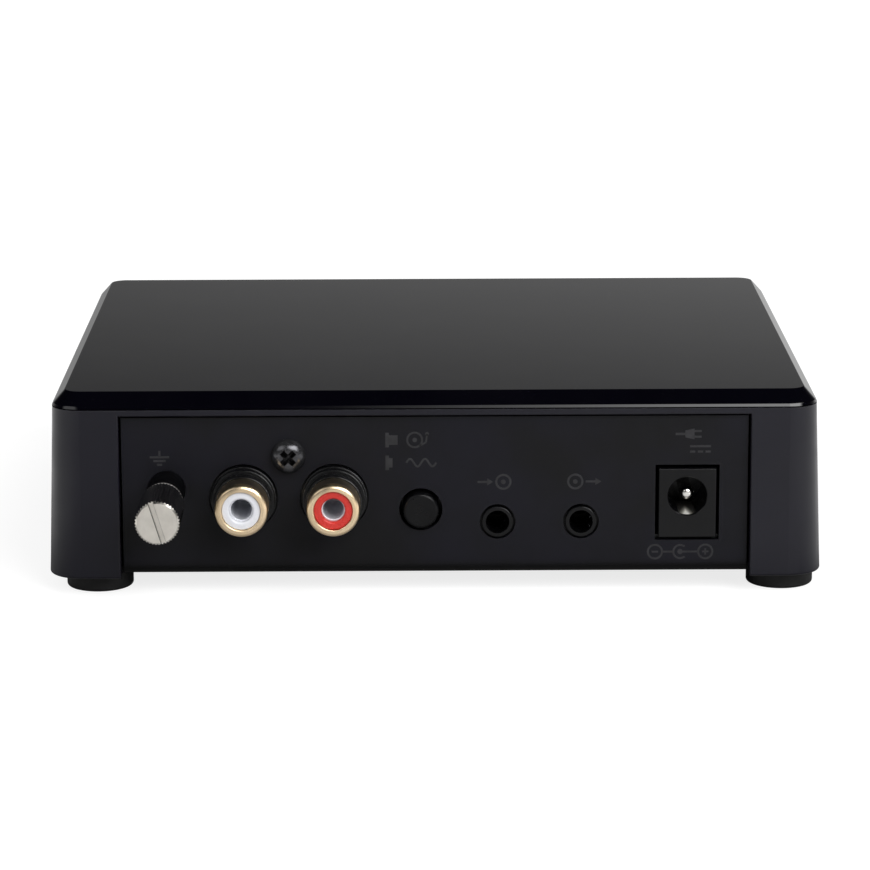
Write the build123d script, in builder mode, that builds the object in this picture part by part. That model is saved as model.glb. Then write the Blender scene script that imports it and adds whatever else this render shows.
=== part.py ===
from build123d import *
import math
import os

os.makedirs("parts", exist_ok=True)

# Phono preamp in a low box. X runs along the connector panel, -Y points out of it, +Z is up.
# The origin is on the table, under the middle of the whole object, ground terminal included.

# ------------------------------------------------------------------ driving dimensions, mm

# Case: a drafted shell, open below, under a bevelled top plate
case_depth = 100.0
case_corner_radius = 5.5
pillar_width = 11.4  # rear wall that is left on each side of the connector panel's notch
wall_draft = 2.0  # degrees that each wall leans inwards
wall = 2.0
roof = 1.6
rim_z = 2.9  # foot of the walls above the table
rim_round = 0.4
notch_rail = 1.0  # rear wall that is left above the notch
notch_round = 0.25
plate_thickness = 2.4
plate_bevel_inset = 2.0
plate_bevel_drop = 2.0
plate_lip_lean = 24.0  # degrees that the edge under the bevel leans inwards
plate_round = 0.2
adhesive_thickness = 0.2
adhesive_inset = 0.8
headroom = 18.95  # from the board's top to the roof

# Chassis: panel and floor folded from one sheet
sheet = 1.0
bend_radius = 0.5  # inside the fold
fold_relief = 0.8
foot_height = 3.2
panel_recess = 1.8  # panel's face behind the foot of the rear wall
panel_gap = 0.35
chassis_gap = 0.4

# Feet and screws. The right feet stand nearer to their wall than the left ones.
foot_radius = 5.2
foot_boss_radius = 3.6
foot_rim_gap = 0.2  # from the foot's disc up to the walls' rim
foot_round = 0.5
foot_inset_left = 7.5
foot_inset_right = 6.0
foot_inset_y = 8.3
post_radius = 3.25
screw_radius = 1.45
screw_head_radius = 2.7
screw_head_height = 2.0
screw_crown_share = 0.85  # of the head's height that is rounded
screw_clearance = 0.25
thread_gap = 0.05
case_screw_length = 10.0
screw_slot_length = 2.7
screw_slot_width = 0.95
screw_slot_depth = 1.3
screw_slot_taper = 14.0  # degrees

# Circuit board
board_thickness = 1.6
board_side_gap = 2.9  # from the board's edge to the shell's posts
board_rear_gap = 0.5
board_front_gap = 7.0
board_corner_radius = 1.0
standoff_height = 3.05
standoff_radius = 2.6
standoff_spigot_radius = 1.9
board_screw_inset = 4.0
board_screw_rear_inset = 19.5
board_screw_length = 4.0

# Places along the connector panel, each one measured from the one before it
edge_to_ground = 7.2
ground_to_phono = 11.85
phono_pitch = 14.0
phono_to_button = 13.35
button_to_jack = 11.85
jack_pitch = 12.9
jack_to_power = 16.4
power_to_edge = 9.65

# Heights of the socket axes above the board
ground_height = 7.9
phono_height = 6.5
button_height = 4.55
jack_height = 2.55
power_height = 6.6

# Clearances between pieces
fit_gap = 0.03  # pieces that stay put
slide_gap = 0.06  # pieces that slide or turn
hole_gap = 0.35  # 3.5 mm jack sockets in the panel's holes
phono_hole_gap = 0.25

# Twin phono socket
phono_shell_radius = 4.1
phono_seat_radius = 3.9  # of the shell's narrower end, in the block
phono_reach = 8.8
phono_lip_round = 0.75
phono_insulator_radius = 2.95
phono_insulator_recess = 0.35
phono_bore_radius = 1.6
phono_bore_depth = 12.0  # for a plug's pin
phono_contact_wall = 0.3
phono_contact_recess = 1.0
phono_mouth_gap = 0.2  # from the contact's bore out to the insulator's mouth
phono_mouth_round = 0.35
phono_contact_round = 0.12
phono_slit_width = 0.35
phono_slit_recess = 5.0  # from the contact's rim to its slit
phono_tail_radius = 1.2
phono_tail_length = 1.5
phono_seat_depth = 8.0  # of the socket in the block
phono_collar_radius = 5.1
phono_collar_reach = 0.8
phono_neck_radius = 4.9
phono_neck_reach = 2.1
phono_sleeve_radius = 4.4
phono_sleeve_reach = 4.3
phono_edge_round = 0.15
phono_block_margin = 7.4  # from each axis to the block's side
phono_block_top = 5.6  # from the axes to the block's top
phono_block_depth = 10.0
phono_block_round = 0.5
phono_screw_rise = 6.65  # from the axes to the screw
phono_tab_radius = 3.4
phono_screw_length = 7.0
phono_screw_turn = 45.0  # degrees

# Push switch
button_radius = 2.75
button_hole_gap = 0.6
button_reach = 1.3
button_length = 6.0
button_round = 0.5
button_socket_depth = 3.8
button_travel = 2.0
button_end_gap = 0.4
plunger_width = 3.0
plunger_seat = 3.2  # length of the plunger inside the switch at rest
spring_length = 5.6
spring_radius = 1.05
spring_wire_radius = 0.15
spring_turns = 6
spring_end_gap = 0.05
switch_width = 8.4
switch_wall = 1.6  # behind the spring
switch_round = 0.4

# 3.5 mm jack sockets
jack_bore_radius = 1.83
jack_nose_radius = 2.42
jack_nose_reach = 0.3
jack_nose_round = 0.15
jack_body_width = 6.2
jack_body_length = 12.0
jack_body_gap = 0.1
jack_body_round = 0.25
jack_contact_wall = 0.3
jack_contact_start = 3.0
jack_contact_length = 2.4
jack_tip_length = 1.6

# Power socket
power_width = 8.9
power_rise = 4.35  # from the axis to the body's top
power_length = 14.0
power_reach = 0.6
power_hole_gap = 0.5
power_round = 0.2
power_bore_radius = 3.0
power_bore_depth = 10.0
power_bore_chamfer = 0.12
power_pin_radius = 1.0
power_pin_root_radius = 0.8  # where it passes through the body
power_pin_recess = 1.4
power_leaf_width = 2.6
power_leaf_thickness = 0.3
power_leaf_recess = 0.8
power_leaf_slot = 0.55
power_leaf_bow = 0.6

# Ground terminal
bush_radius = 2.95
bush_reach = 8.2
bush_round = 0.3
bush_spigot_radius = 2.5
insert_radius = 2.0
insert_depth = 6.2
inner_washer_radius = 4.0
inner_washer_thickness = 1.0
tag_radius = 3.3
tag_thickness = 0.5
tag_width = 2.2
tag_drop = 5.4  # from the axis to the tag's tail end
nut_across_flats = 7.0
nut_thickness = 2.2
wire_radius = 0.4
wire_run = 3.8
wire_bend_radius = 1.6
wire_rise = 4.0  # height above the board at which the wire leaves the tag
captive_washer_radius = 3.05
captive_washer_thickness = 0.8
thumb_screw_radius = 3.38
thumb_screw_length = 12.3
thumb_screw_shank = 9.0
thumb_screw_chamfer = 0.35
thumb_screw_rear_chamfer = 0.6
knurl_teeth = 42
knurl_depth = 0.22
thumb_slot_width = 0.85
thumb_slot_depth = 0.5
thumb_slot_turn = 17.0  # degrees from upright

# Status lamp and light guide in the front wall
lamp_radius = 1.5
lamp_flange_radius = 1.9
lamp_flange_length = 1.0
lamp_length = 5.0
lamp_height = 3.2
lamp_leg_width = 0.5
lamp_leg_pitch = 2.54
guide_radius = 1.5
guide_flange_radius = 2.4
guide_flange_length = 1.0
guide_wall_gap = 0.1
guide_lamp_gap = 0.3
guide_proud = 0.2
guide_round = 0.2

# Electronics on the board
can_radius = 4.0
can_height = 11.5
can_round = 0.5
can_groove_height = 1.6
can_groove_depth = 0.35
can_pitch_x = 11.0
can_pitch_y = 12.0
cans_x = 29.0
cans_y = -14.0
film_width = 4.5
film_length = 7.2
film_height = 9.5
film_round = 0.4
film_count = 4
film_pitch = 8.5
films_x = -22.0
films_y = -22.0
chip_length = 9.3
chip_width = 6.4
chip_height = 3.3
chip_lift = 0.5
chip_leg_pairs = 4
chip_leg_width = 0.5
chip_leg_pitch = 2.54
chip_leg_spread = 7.9
chip_notch_radius = 0.8
chips_pitch = 18.0
chips_x = -22.0
chips_y = -4.0
resistor_radius = 1.15
resistor_length = 6.2
resistor_waist = 0.25
resistor_lift = 0.4
resistor_leg_radius = 0.3
resistor_span = 9.0
resistor_columns = 6
resistor_rows = 2
resistor_pitch_x = 5.2
resistor_pitch_y = 12.5
resistors_x = -20.0
resistors_y = 18.0
regulator_x = 30.0
regulator_y = 12.0
regulator_width = 10.0
regulator_body_height = 8.6
regulator_body_thickness = 4.4
regulator_tab_height = 4.4
regulator_tab_thickness = 1.2
regulator_hole_radius = 1.4
regulator_leg_length = 2.0
regulator_leg_width = 0.8
regulator_leg_pitch = 2.54

# ------------------------------------------------------------------ worked-out sizes and places

panel_places = [
    edge_to_ground,
    ground_to_phono,
    phono_pitch,
    phono_to_button,
    button_to_jack,
    jack_pitch,
    jack_to_power,
]
notch_width = sum(panel_places) + power_to_edge
case_width = notch_width + 2 * pillar_width

# Heights
floor_z = foot_height
floor_top_z = floor_z + sheet
board_z = floor_top_z + standoff_height
board_top_z = board_z + board_thickness
roof_z = board_top_z + headroom
shell_top_z = roof_z + roof
plate_z = shell_top_z + adhesive_thickness
notch_top_z = shell_top_z - notch_rail
ground_z = board_top_z + ground_height
phono_z = board_top_z + phono_height
button_z = board_top_z + button_height
jack_z = board_top_z + jack_height
power_z = board_top_z + power_height
lamp_z = board_top_z + lamp_height

# Distances out of the connector panel's face
captive_washer_reach = bush_reach + captive_washer_thickness
thumb_screw_reach = captive_washer_reach + thumb_screw_length

# Places along Y
terminal_overhang = thumb_screw_reach - panel_recess
rear_y = (terminal_overhang - case_depth) / 2
front_y = rear_y + case_depth
case_mid_y = (rear_y + front_y) / 2
panel_y = rear_y + panel_recess
panel_back_y = panel_y + sheet
fold_y = panel_back_y + bend_radius


def wall_lean(z):
    """How far the draft has moved a wall inwards at a height."""
    return (z - rim_z) * math.tan(math.radians(wall_draft))


# Places along X, from the notch's left edge
ground_x = edge_to_ground - notch_width / 2
phono_left_x = ground_x + ground_to_phono
phono_right_x = phono_left_x + phono_pitch
phono_mid_x = (phono_left_x + phono_right_x) / 2
button_x = phono_right_x + phono_to_button
jack_in_x = button_x + button_to_jack
jack_out_x = jack_in_x + jack_pitch
power_x = jack_out_x + jack_to_power

# Feet, posts and case screws share their places
foot_left_x = foot_inset_left - case_width / 2
foot_right_x = case_width / 2 - foot_inset_right
foot_places = {
    "rear_left": (foot_left_x, rear_y + foot_inset_y),
    "rear_right": (foot_right_x, rear_y + foot_inset_y),
    "front_left": (foot_left_x, front_y - foot_inset_y),
    "front_right": (foot_right_x, front_y - foot_inset_y),
}

# Board
board_half_width = min(-foot_left_x, foot_right_x) - post_radius - board_side_gap
board_rear_y = panel_back_y + board_rear_gap
board_front_y = front_y - wall - board_front_gap
board_mid_y = (board_rear_y + board_front_y) / 2
board_screw_x = board_half_width - board_screw_inset
board_screw_places = [
    (side * board_screw_x, y)
    for side in (-1, 1)
    for y in (board_rear_y + board_screw_rear_inset, board_front_y - board_screw_inset)
]

# ------------------------------------------------------------------ helpers


def panel_plane(reach=0.0):
    """Plane parallel to the panel's face, facing out of it, with X and Z as its axes."""
    return Plane.XZ.offset(reach - panel_y)


def axis_plane(x, z):
    """Plane through an axis that leaves the panel: its X is a radius, its Y is the reach."""
    return Plane(origin=(x, panel_y, z), x_dir=(1, 0, 0), z_dir=(0, 0, -1))


def lathe(plane, outline, mode=Mode.ADD):
    """Turn an outline of (radius, reach) corners about the plane's Y direction."""
    with BuildSketch(plane) as half_section:
        with BuildLine():
            Polyline(*outline, close=True)
        make_face()
    revolve(half_section.sketch, axis=Axis(plane.origin, plane.y_dir), mode=mode)


def tube(plane, inner, outer, low, high, mode=Mode.ADD):
    """Ring between two radii, from one reach to another. An inner radius of 0 makes a rod."""
    lathe(plane, [(inner, low), (outer, low), (outer, high), (inner, high)], mode)


def prism(plane, places, shape, amount, mode=Mode.ADD, taper=0.0):
    """Extrude the outline that shape() draws at each place of a plane."""
    with BuildSketch(plane) as outline:
        with Locations(*places):
            shape()
    extrude(outline.sketch, amount=amount, taper=taper, mode=mode)


def cross_screws(seat, places, length, turn=0.0):
    """Pan-head cross-slot screws whose heads stand on the seat plane and shanks go behind it."""
    with BuildPart() as screws:
        prism(seat, places, lambda: Circle(screw_head_radius), screw_head_height)
        outward = Axis(seat.origin, seat.z_dir)
        crowns = screws.faces().sort_by(outward)[-len(places) :]
        fillet(crowns.edges(), screw_crown_share * screw_head_height)
        prism(seat, places, lambda: Circle(screw_radius), -length)
        for angle in (turn, turn + 90):
            prism(
                seat.offset(screw_head_height),
                places,
                lambda: Rectangle(screw_slot_length, screw_slot_width, rotation=angle),
                -screw_slot_depth,
                Mode.SUBTRACT,
                screw_slot_taper,
            )
    return screws.part


# ------------------------------------------------------------------ case

with BuildPart() as shell:
    with BuildSketch(Plane.XY.offset(rim_z)):
        with Locations((0, case_mid_y)):
            RectangleRounded(case_width, case_depth, case_corner_radius)
    extrude(amount=shell_top_z - rim_z, taper=wall_draft)
    fillet(shell.faces().sort_by(Axis.Z)[0].edges(), rim_round)
    with BuildSketch(Plane.XY.offset(rim_z)):
        with Locations((0, case_mid_y)):
            RectangleRounded(
                case_width - 2 * wall, case_depth - 2 * wall, case_corner_radius - wall
            )
    extrude(amount=roof_z - rim_z, taper=wall_draft, mode=Mode.SUBTRACT)
    # Notch for the connector panel, open below, and as deep as the panel's back needs
    notch_depth = panel_recess + sheet + bend_radius
    with BuildSketch(Plane.XZ.offset(-rear_y)):
        with Locations((0, notch_top_z)):
            Rectangle(notch_width, notch_top_z, align=(Align.CENTER, Align.MAX))
    extrude(amount=-notch_depth, mode=Mode.SUBTRACT)
    notch_edges = shell.edges().filter_by(
        lambda e: e.center().Y < panel_y
        and (
            abs(abs(e.center().X) - notch_width / 2) < notch_round
            or abs(e.center().Z - notch_top_z) < notch_round
        )
        and max(e.bounding_box().size.X, e.bounding_box().size.Z) > notch_depth
    )
    fillet(notch_edges, notch_round)
    # Posts that take the case screws
    prism(
        Plane.XY.offset(floor_top_z),
        foot_places.values(),
        lambda: Circle(post_radius),
        roof_z + roof / 2 - floor_top_z,
    )
    prism(
        Plane.XY.offset(floor_top_z),
        foot_places.values(),
        lambda: Circle(screw_radius + thread_gap),
        case_screw_length,
        Mode.SUBTRACT,
    )
    # Hole for the light guide
    prism(
        Plane.XZ.offset(-front_y),
        [(0, lamp_z)],
        lambda: Circle(guide_radius + fit_gap),
        2 * wall,
        Mode.SUBTRACT,
    )
shell.part.label = "shell"
export_step(shell.part, "parts/shell.step")

top_lean = wall_lean(shell_top_z)
top_width = case_width - 2 * top_lean
top_depth = case_depth - 2 * top_lean
top_corner_radius = case_corner_radius - top_lean

with BuildPart() as plate_adhesive:
    with BuildSketch(Plane.XY.offset(shell_top_z)):
        with Locations((0, case_mid_y)):
            RectangleRounded(
                top_width - 2 * adhesive_inset,
                top_depth - 2 * adhesive_inset,
                top_corner_radius - adhesive_inset,
            )
    extrude(amount=adhesive_thickness)
plate_adhesive.part.label = "plate_adhesive"
export_step(plate_adhesive.part, "parts/plate_adhesive.step")

with BuildPart() as top_plate:
    with BuildSketch(Plane.XY.offset(plate_z)):
        with Locations((0, case_mid_y)):
            RectangleRounded(top_width, top_depth, top_corner_radius)
    lip_height = plate_thickness - plate_bevel_drop
    extrude(amount=lip_height, taper=plate_lip_lean)
    lip_inset = lip_height * math.tan(math.radians(plate_lip_lean))
    bevel_angle = math.degrees(math.atan2(plate_bevel_inset - lip_inset, plate_bevel_drop))
    extrude(top_plate.faces().sort_by(Axis.Z)[-1], amount=plate_bevel_drop, taper=bevel_angle)
    shoulder = top_plate.edges().filter_by_position(
        Axis.Z,
        plate_z + lip_height - plate_round / 2,
        plate_z + plate_thickness,
    )
    flat_edges = shoulder.filter_by(lambda e: e.bounding_box().size.Z < plate_round)
    fillet(flat_edges, plate_round)
top_plate.part.label = "top_plate"
export_step(top_plate.part, "parts/top_plate.step")

# ------------------------------------------------------------------ chassis, feet, case screws

panel_width = notch_width - 2 * panel_gap
panel_top_z = notch_top_z - panel_gap
phono_places = [(phono_left_x, phono_z), (phono_right_x, phono_z)]
phono_screw_place = (phono_mid_x, phono_z + phono_screw_rise)
jack_places = [(jack_in_x, jack_z), (jack_out_x, jack_z)]
power_height_above_board = power_height + power_rise
power_mid_z = board_top_z + power_height_above_board / 2

with BuildPart() as chassis:
    # Panel and fold
    with BuildSketch(Plane.YZ.offset(-panel_width / 2)):
        with BuildLine():
            Polyline(
                (panel_y, panel_top_z),
                (panel_y, floor_z),
                (fold_y, floor_z),
                (fold_y, floor_top_z),
                (panel_back_y, floor_top_z),
                (panel_back_y, panel_top_z),
                close=True,
            )
        make_face()
    extrude(amount=panel_width)
    folds = chassis.edges().filter_by(Axis.X)
    fillet(folds.sort_by_distance((0, panel_back_y, floor_top_z))[0], bend_radius * 0.99)
    folds = chassis.edges().filter_by(Axis.X)
    fillet(folds.sort_by_distance((0, panel_y, floor_z))[0], sheet + bend_radius * 0.99)
    # Floor
    floor_inset = wall + wall_lean(floor_top_z) + chassis_gap
    with BuildSketch(Plane.XY.offset(floor_z)):
        with Locations((0, case_mid_y)):
            RectangleRounded(
                case_width - 2 * floor_inset,
                case_depth - 2 * floor_inset,
                case_corner_radius - wall,
            )
        with Locations((0, fold_y)):
            Rectangle(
                panel_width + 2 * fold_relief,
                sheet + bend_radius + panel_recess,
                align=(Align.CENTER, Align.MAX),
                mode=Mode.SUBTRACT,
            )
    extrude(amount=sheet)
    # Holes for the sockets, the button and the ground terminal
    with BuildSketch(panel_plane()):
        with Locations(*phono_places):
            Circle(phono_collar_radius + phono_hole_gap)
        with Locations(phono_screw_place):
            Circle(screw_radius + screw_clearance)
        with Locations((button_x, button_z)):
            Circle(button_radius + button_hole_gap)
        with Locations(*jack_places):
            Circle(jack_nose_radius + hole_gap)
        with Locations((power_x, power_mid_z)):
            Rectangle(
                power_width + 2 * power_hole_gap,
                power_height_above_board + 2 * power_hole_gap,
            )
        with Locations((ground_x, ground_z)):
            Circle(bush_spigot_radius + fit_gap)
    extrude(amount=-sheet, mode=Mode.SUBTRACT)
    # Holes for the case screws and the standoffs
    prism(
        Plane.XY.offset(floor_z),
        foot_places.values(),
        lambda: Circle(screw_radius + screw_clearance),
        sheet,
        Mode.SUBTRACT,
    )
    prism(
        Plane.XY.offset(floor_z),
        board_screw_places,
        lambda: Circle(standoff_spigot_radius + fit_gap),
        sheet,
        Mode.SUBTRACT,
    )
chassis.part.label = "chassis"
export_step(chassis.part, "parts/chassis.step")

head_seat_z = screw_head_height + screw_clearance
foot_disc_z = rim_z - foot_rim_gap
for corner, place in foot_places.items():
    with BuildPart() as foot:
        prism(Plane.XY, [place], lambda: Circle(foot_radius), foot_disc_z)
        fillet(foot.faces().sort_by(Axis.Z)[0].edges(), foot_round)
        prism(Plane.XY, [place], lambda: Circle(foot_boss_radius), foot_height)
        prism(
            Plane.XY,
            [place],
            lambda: Circle(screw_head_radius + screw_clearance),
            head_seat_z,
            Mode.SUBTRACT,
        )
        prism(
            Plane.XY,
            [place],
            lambda: Circle(screw_radius + screw_clearance),
            foot_height,
            Mode.SUBTRACT,
        )
    foot.part.label = f"foot_{corner}"
    export_step(foot.part, f"parts/foot_{corner}.step")

# The screws are seen from below, so their seat plane looks down and its Y is turned round.
screw_seat = Plane(origin=(0, 0, head_seat_z), x_dir=(1, 0, 0), z_dir=(0, 0, -1))
seen_from_below = [(x, -y) for x, y in foot_places.values()]
case_screws = cross_screws(screw_seat, seen_from_below, case_screw_length)
case_screws.label = "case_screws"
export_step(case_screws, "parts/case_screws.step")

# ------------------------------------------------------------------ circuit board

with BuildPart() as board_standoffs:
    prism(
        Plane.XY.offset(floor_top_z),
        board_screw_places,
        lambda: Circle(standoff_radius),
        standoff_height,
    )
    prism(
        Plane.XY.offset(floor_z),
        board_screw_places,
        lambda: Circle(standoff_spigot_radius),
        sheet,
    )
    prism(
        Plane.XY.offset(floor_z),
        board_screw_places,
        lambda: Circle(screw_radius + thread_gap),
        sheet + standoff_height,
        Mode.SUBTRACT,
    )
board_standoffs.part.label = "board_standoffs"
export_step(board_standoffs.part, "parts/board_standoffs.step")

with BuildPart() as circuit_board:
    with BuildSketch(Plane.XY.offset(board_z)):
        with Locations((0, board_mid_y)):
            RectangleRounded(
                2 * board_half_width, board_front_y - board_rear_y, board_corner_radius
            )
        with Locations(*board_screw_places):
            Circle(screw_radius + screw_clearance, mode=Mode.SUBTRACT)
    extrude(amount=board_thickness)
circuit_board.part.label = "circuit_board"
export_step(circuit_board.part, "parts/circuit_board.step")

board_screws = cross_screws(
    Plane.XY.offset(board_top_z), board_screw_places, board_screw_length
)
board_screws.label = "board_screws"
export_step(board_screws, "parts/board_screws.step")

# ------------------------------------------------------------------ twin phono socket

socket_seat = -sheet - phono_seat_depth
contact_end = -sheet - phono_block_depth
phono_steps = [
    (phono_collar_radius, phono_collar_reach),
    (phono_neck_radius, phono_neck_reach),
    (phono_sleeve_radius, phono_sleeve_reach),
]
with BuildPart() as phono_housing:
    with BuildSketch(panel_plane(-sheet)):
        with Locations((phono_mid_x, board_top_z)):
            Rectangle(
                phono_pitch + 2 * phono_block_margin,
                phono_height + phono_block_top,
                align=(Align.CENTER, Align.MIN),
            )
        with Locations((phono_mid_x, board_top_z)):
            Rectangle(
                2 * phono_tab_radius,
                phono_height + phono_screw_rise,
                align=(Align.CENTER, Align.MIN),
            )
        with Locations(phono_screw_place):
            Circle(phono_tab_radius)
    extrude(amount=-phono_block_depth)
    back = phono_housing.faces().sort_by(Axis.Y)[-1]
    fillet(back.edges(), phono_block_round)
    # Stepped collars, out through the panel's holes
    step_start = -sheet
    for radius, reach in phono_steps:
        prism(
            panel_plane(step_start),
            phono_places,
            lambda: Circle(radius),
            reach - step_start,
        )
        step_faces = phono_housing.faces().sort_by(Axis.Y)[:2]
        fillet(step_faces.edges(), phono_edge_round)
        step_start = reach
    # Bores for the sockets and their contacts, and the screw's pilot hole
    for x, z in phono_places:
        tube(
            axis_plane(x, z),
            0,
            phono_seat_radius + fit_gap,
            socket_seat,
            phono_sleeve_reach,
            Mode.SUBTRACT,
        )
        tube(
            axis_plane(x, z),
            0,
            phono_tail_radius + fit_gap,
            contact_end,
            -sheet,
            Mode.SUBTRACT,
        )
    prism(
        panel_plane(-sheet),
        [phono_screw_place],
        lambda: Circle(screw_radius + thread_gap),
        -phono_screw_length,
        Mode.SUBTRACT,
    )
phono_housing.part.label = "phono_socket_housing"
export_step(phono_housing.part, "parts/phono_socket_housing.step")

insulator_reach = phono_reach - phono_insulator_recess
contact_reach = insulator_reach - phono_contact_recess
contact_radius = phono_bore_radius + phono_contact_wall
contact_floor = insulator_reach - phono_bore_depth
mouth_radius = phono_bore_radius + phono_mouth_gap
for side, x in (("left", phono_left_x), ("right", phono_right_x)):
    socket_axis = axis_plane(x, phono_z)
    shell_bore = phono_insulator_radius + fit_gap
    with BuildPart() as phono_shell:
        tube(socket_axis, shell_bore, phono_seat_radius, socket_seat, phono_sleeve_reach)
        tube(socket_axis, shell_bore, phono_shell_radius, phono_sleeve_reach, phono_reach)
        lip = phono_shell.faces().sort_by(Axis.Y)[0]
        fillet(lip.outer_wire().edges(), phono_lip_round)
        lip = phono_shell.faces().sort_by(Axis.Y)[0]
        fillet(lip.inner_wires().edges(), phono_edge_round)
    phono_shell.part.label = f"phono_socket_shell_{side}"
    export_step(phono_shell.part, f"parts/phono_socket_shell_{side}.step")

    with BuildPart() as phono_insulator:
        tube(
            socket_axis,
            contact_radius + fit_gap,
            phono_insulator_radius,
            socket_seat,
            contact_reach + fit_gap,
        )
        tube(
            socket_axis,
            mouth_radius,
            phono_insulator_radius,
            contact_reach + fit_gap,
            insulator_reach,
        )
        insulator_front = phono_insulator.faces().sort_by(Axis.Y)[0]
        fillet(insulator_front.outer_wire().edges(), phono_edge_round)
        insulator_front = phono_insulator.faces().sort_by(Axis.Y)[0]
        fillet(insulator_front.inner_wires().edges(), phono_mouth_round)
    phono_insulator.part.label = f"phono_socket_insulator_{side}"
    export_step(phono_insulator.part, f"parts/phono_socket_insulator_{side}.step")

    with BuildPart() as phono_contact:
        tube(socket_axis, 0, contact_radius, socket_seat, contact_reach)
        tube(
            socket_axis,
            0,
            phono_bore_radius,
            contact_floor,
            contact_reach,
            Mode.SUBTRACT,
        )
        fillet(phono_contact.faces().sort_by(Axis.Y)[0].edges(), phono_contact_round)
        prism(
            panel_plane(contact_reach - phono_slit_recess),
            [(x, phono_z)],
            lambda: Rectangle(3 * contact_radius, phono_slit_width),
            phono_slit_recess - contact_reach,
            Mode.SUBTRACT,
        )
        tail_end = contact_end - phono_tail_length
        tube(socket_axis, 0, phono_tail_radius, tail_end, socket_seat)
    phono_contact.part.label = f"phono_socket_contact_{side}"
    export_step(phono_contact.part, f"parts/phono_socket_contact_{side}.step")

phono_screw = cross_screws(
    panel_plane(), [phono_screw_place], phono_screw_length, phono_screw_turn
)
phono_screw.label = "phono_socket_screw"
export_step(phono_screw, "parts/phono_socket_screw.step")

# ------------------------------------------------------------------ push switch

button_back = button_reach - button_length
switch_front = button_back - button_travel - button_end_gap
plunger_end = switch_front - plunger_seat
spring_end = plunger_end - spring_length
button_place = [(button_x, button_z)]

with BuildPart() as button_cap:
    prism(
        panel_plane(button_reach),
        button_place,
        lambda: Circle(button_radius),
        -button_length,
    )
    fillet(button_cap.faces().sort_by(Axis.Y)[0].edges(), button_round)
    socket_width = plunger_width + 2 * fit_gap
    prism(
        panel_plane(button_back),
        button_place,
        lambda: Rectangle(socket_width, socket_width),
        button_socket_depth,
        Mode.SUBTRACT,
    )
button_cap.part.label = "button_cap"
export_step(button_cap.part, "parts/button_cap.step")

with BuildPart() as switch_plunger:
    prism(
        panel_plane(button_back + button_socket_depth),
        button_place,
        lambda: Rectangle(plunger_width, plunger_width),
        plunger_end - button_back - button_socket_depth,
    )
switch_plunger.part.label = "switch_plunger"
export_step(switch_plunger.part, "parts/switch_plunger.step")

with BuildPart() as switch_body:
    switch_length = switch_front - spring_end + switch_wall
    with BuildSketch(panel_plane(switch_front)):
        with Locations((button_x, board_top_z)):
            Rectangle(switch_width, 2 * button_height, align=(Align.CENTER, Align.MIN))
    extrude(amount=-switch_length)
    fillet(switch_body.edges().filter_by(Axis.Y), switch_round)
    guide_width = plunger_width + 2 * slide_gap
    prism(
        panel_plane(switch_front),
        button_place,
        lambda: Rectangle(guide_width, guide_width),
        spring_end - switch_front,
        Mode.SUBTRACT,
    )
switch_body.part.label = "switch_body"
export_step(switch_body.part, "parts/switch_body.step")

with BuildPart() as switch_spring:
    coil_height = spring_length - 2 * spring_wire_radius - 2 * spring_end_gap
    coil_start = spring_end + spring_wire_radius + spring_end_gap
    with BuildLine() as coil:
        Helix(
            pitch=coil_height / spring_turns,
            height=coil_height,
            radius=spring_radius,
            center=(button_x, panel_y - coil_start, button_z),
            direction=(0, -1, 0),
        )
    with BuildSketch(Plane(origin=coil.line @ 0, z_dir=coil.line % 0)):
        Circle(spring_wire_radius)
    sweep(path=coil.line, is_frenet=True)
switch_spring.part.label = "switch_spring"
export_step(switch_spring.part, "parts/switch_spring.step")

# ------------------------------------------------------------------ 3.5 mm jack sockets

jack_contact_radius = jack_bore_radius + jack_contact_wall
jack_front = -sheet - jack_body_gap
jack_back = jack_front - jack_body_length
for use, x in (("line_in", jack_in_x), ("line_out", jack_out_x)):
    jack_axis = axis_plane(x, jack_z)
    with BuildPart() as jack_body:
        with BuildSketch(panel_plane(jack_front)):
            with Locations((x, board_top_z)):
                Rectangle(jack_body_width, 2 * jack_height, align=(Align.CENTER, Align.MIN))
        extrude(amount=-jack_body_length)
        fillet(jack_body.edges().filter_by(Axis.Y), jack_body_round)
        tube(jack_axis, 0, jack_nose_radius, jack_front, jack_nose_reach)
        fillet(jack_body.faces().sort_by(Axis.Y)[0].edges(), jack_nose_round)
        tube(jack_axis, 0, jack_bore_radius, -jack_contact_start, jack_nose_reach, Mode.SUBTRACT)
        tube(
            jack_axis,
            0,
            jack_contact_radius + fit_gap,
            jack_back,
            -jack_contact_start,
            Mode.SUBTRACT,
        )
    jack_body.part.label = f"{use}_jack_body"
    export_step(jack_body.part, f"parts/{use}_jack_body.step")

    with BuildPart() as sleeve_contact:
        tube(
            jack_axis,
            jack_bore_radius,
            jack_contact_radius,
            -jack_contact_start - jack_contact_length,
            -jack_contact_start,
        )
    sleeve_contact.part.label = f"{use}_sleeve_contact"
    export_step(sleeve_contact.part, f"parts/{use}_sleeve_contact.step")

    with BuildPart() as tip_contact:
        tube(
            jack_axis,
            jack_bore_radius,
            jack_contact_radius,
            jack_back,
            jack_back + jack_tip_length,
        )
    tip_contact.part.label = f"{use}_tip_contact"
    export_step(tip_contact.part, f"parts/{use}_tip_contact.step")

# ------------------------------------------------------------------ power socket

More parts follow.
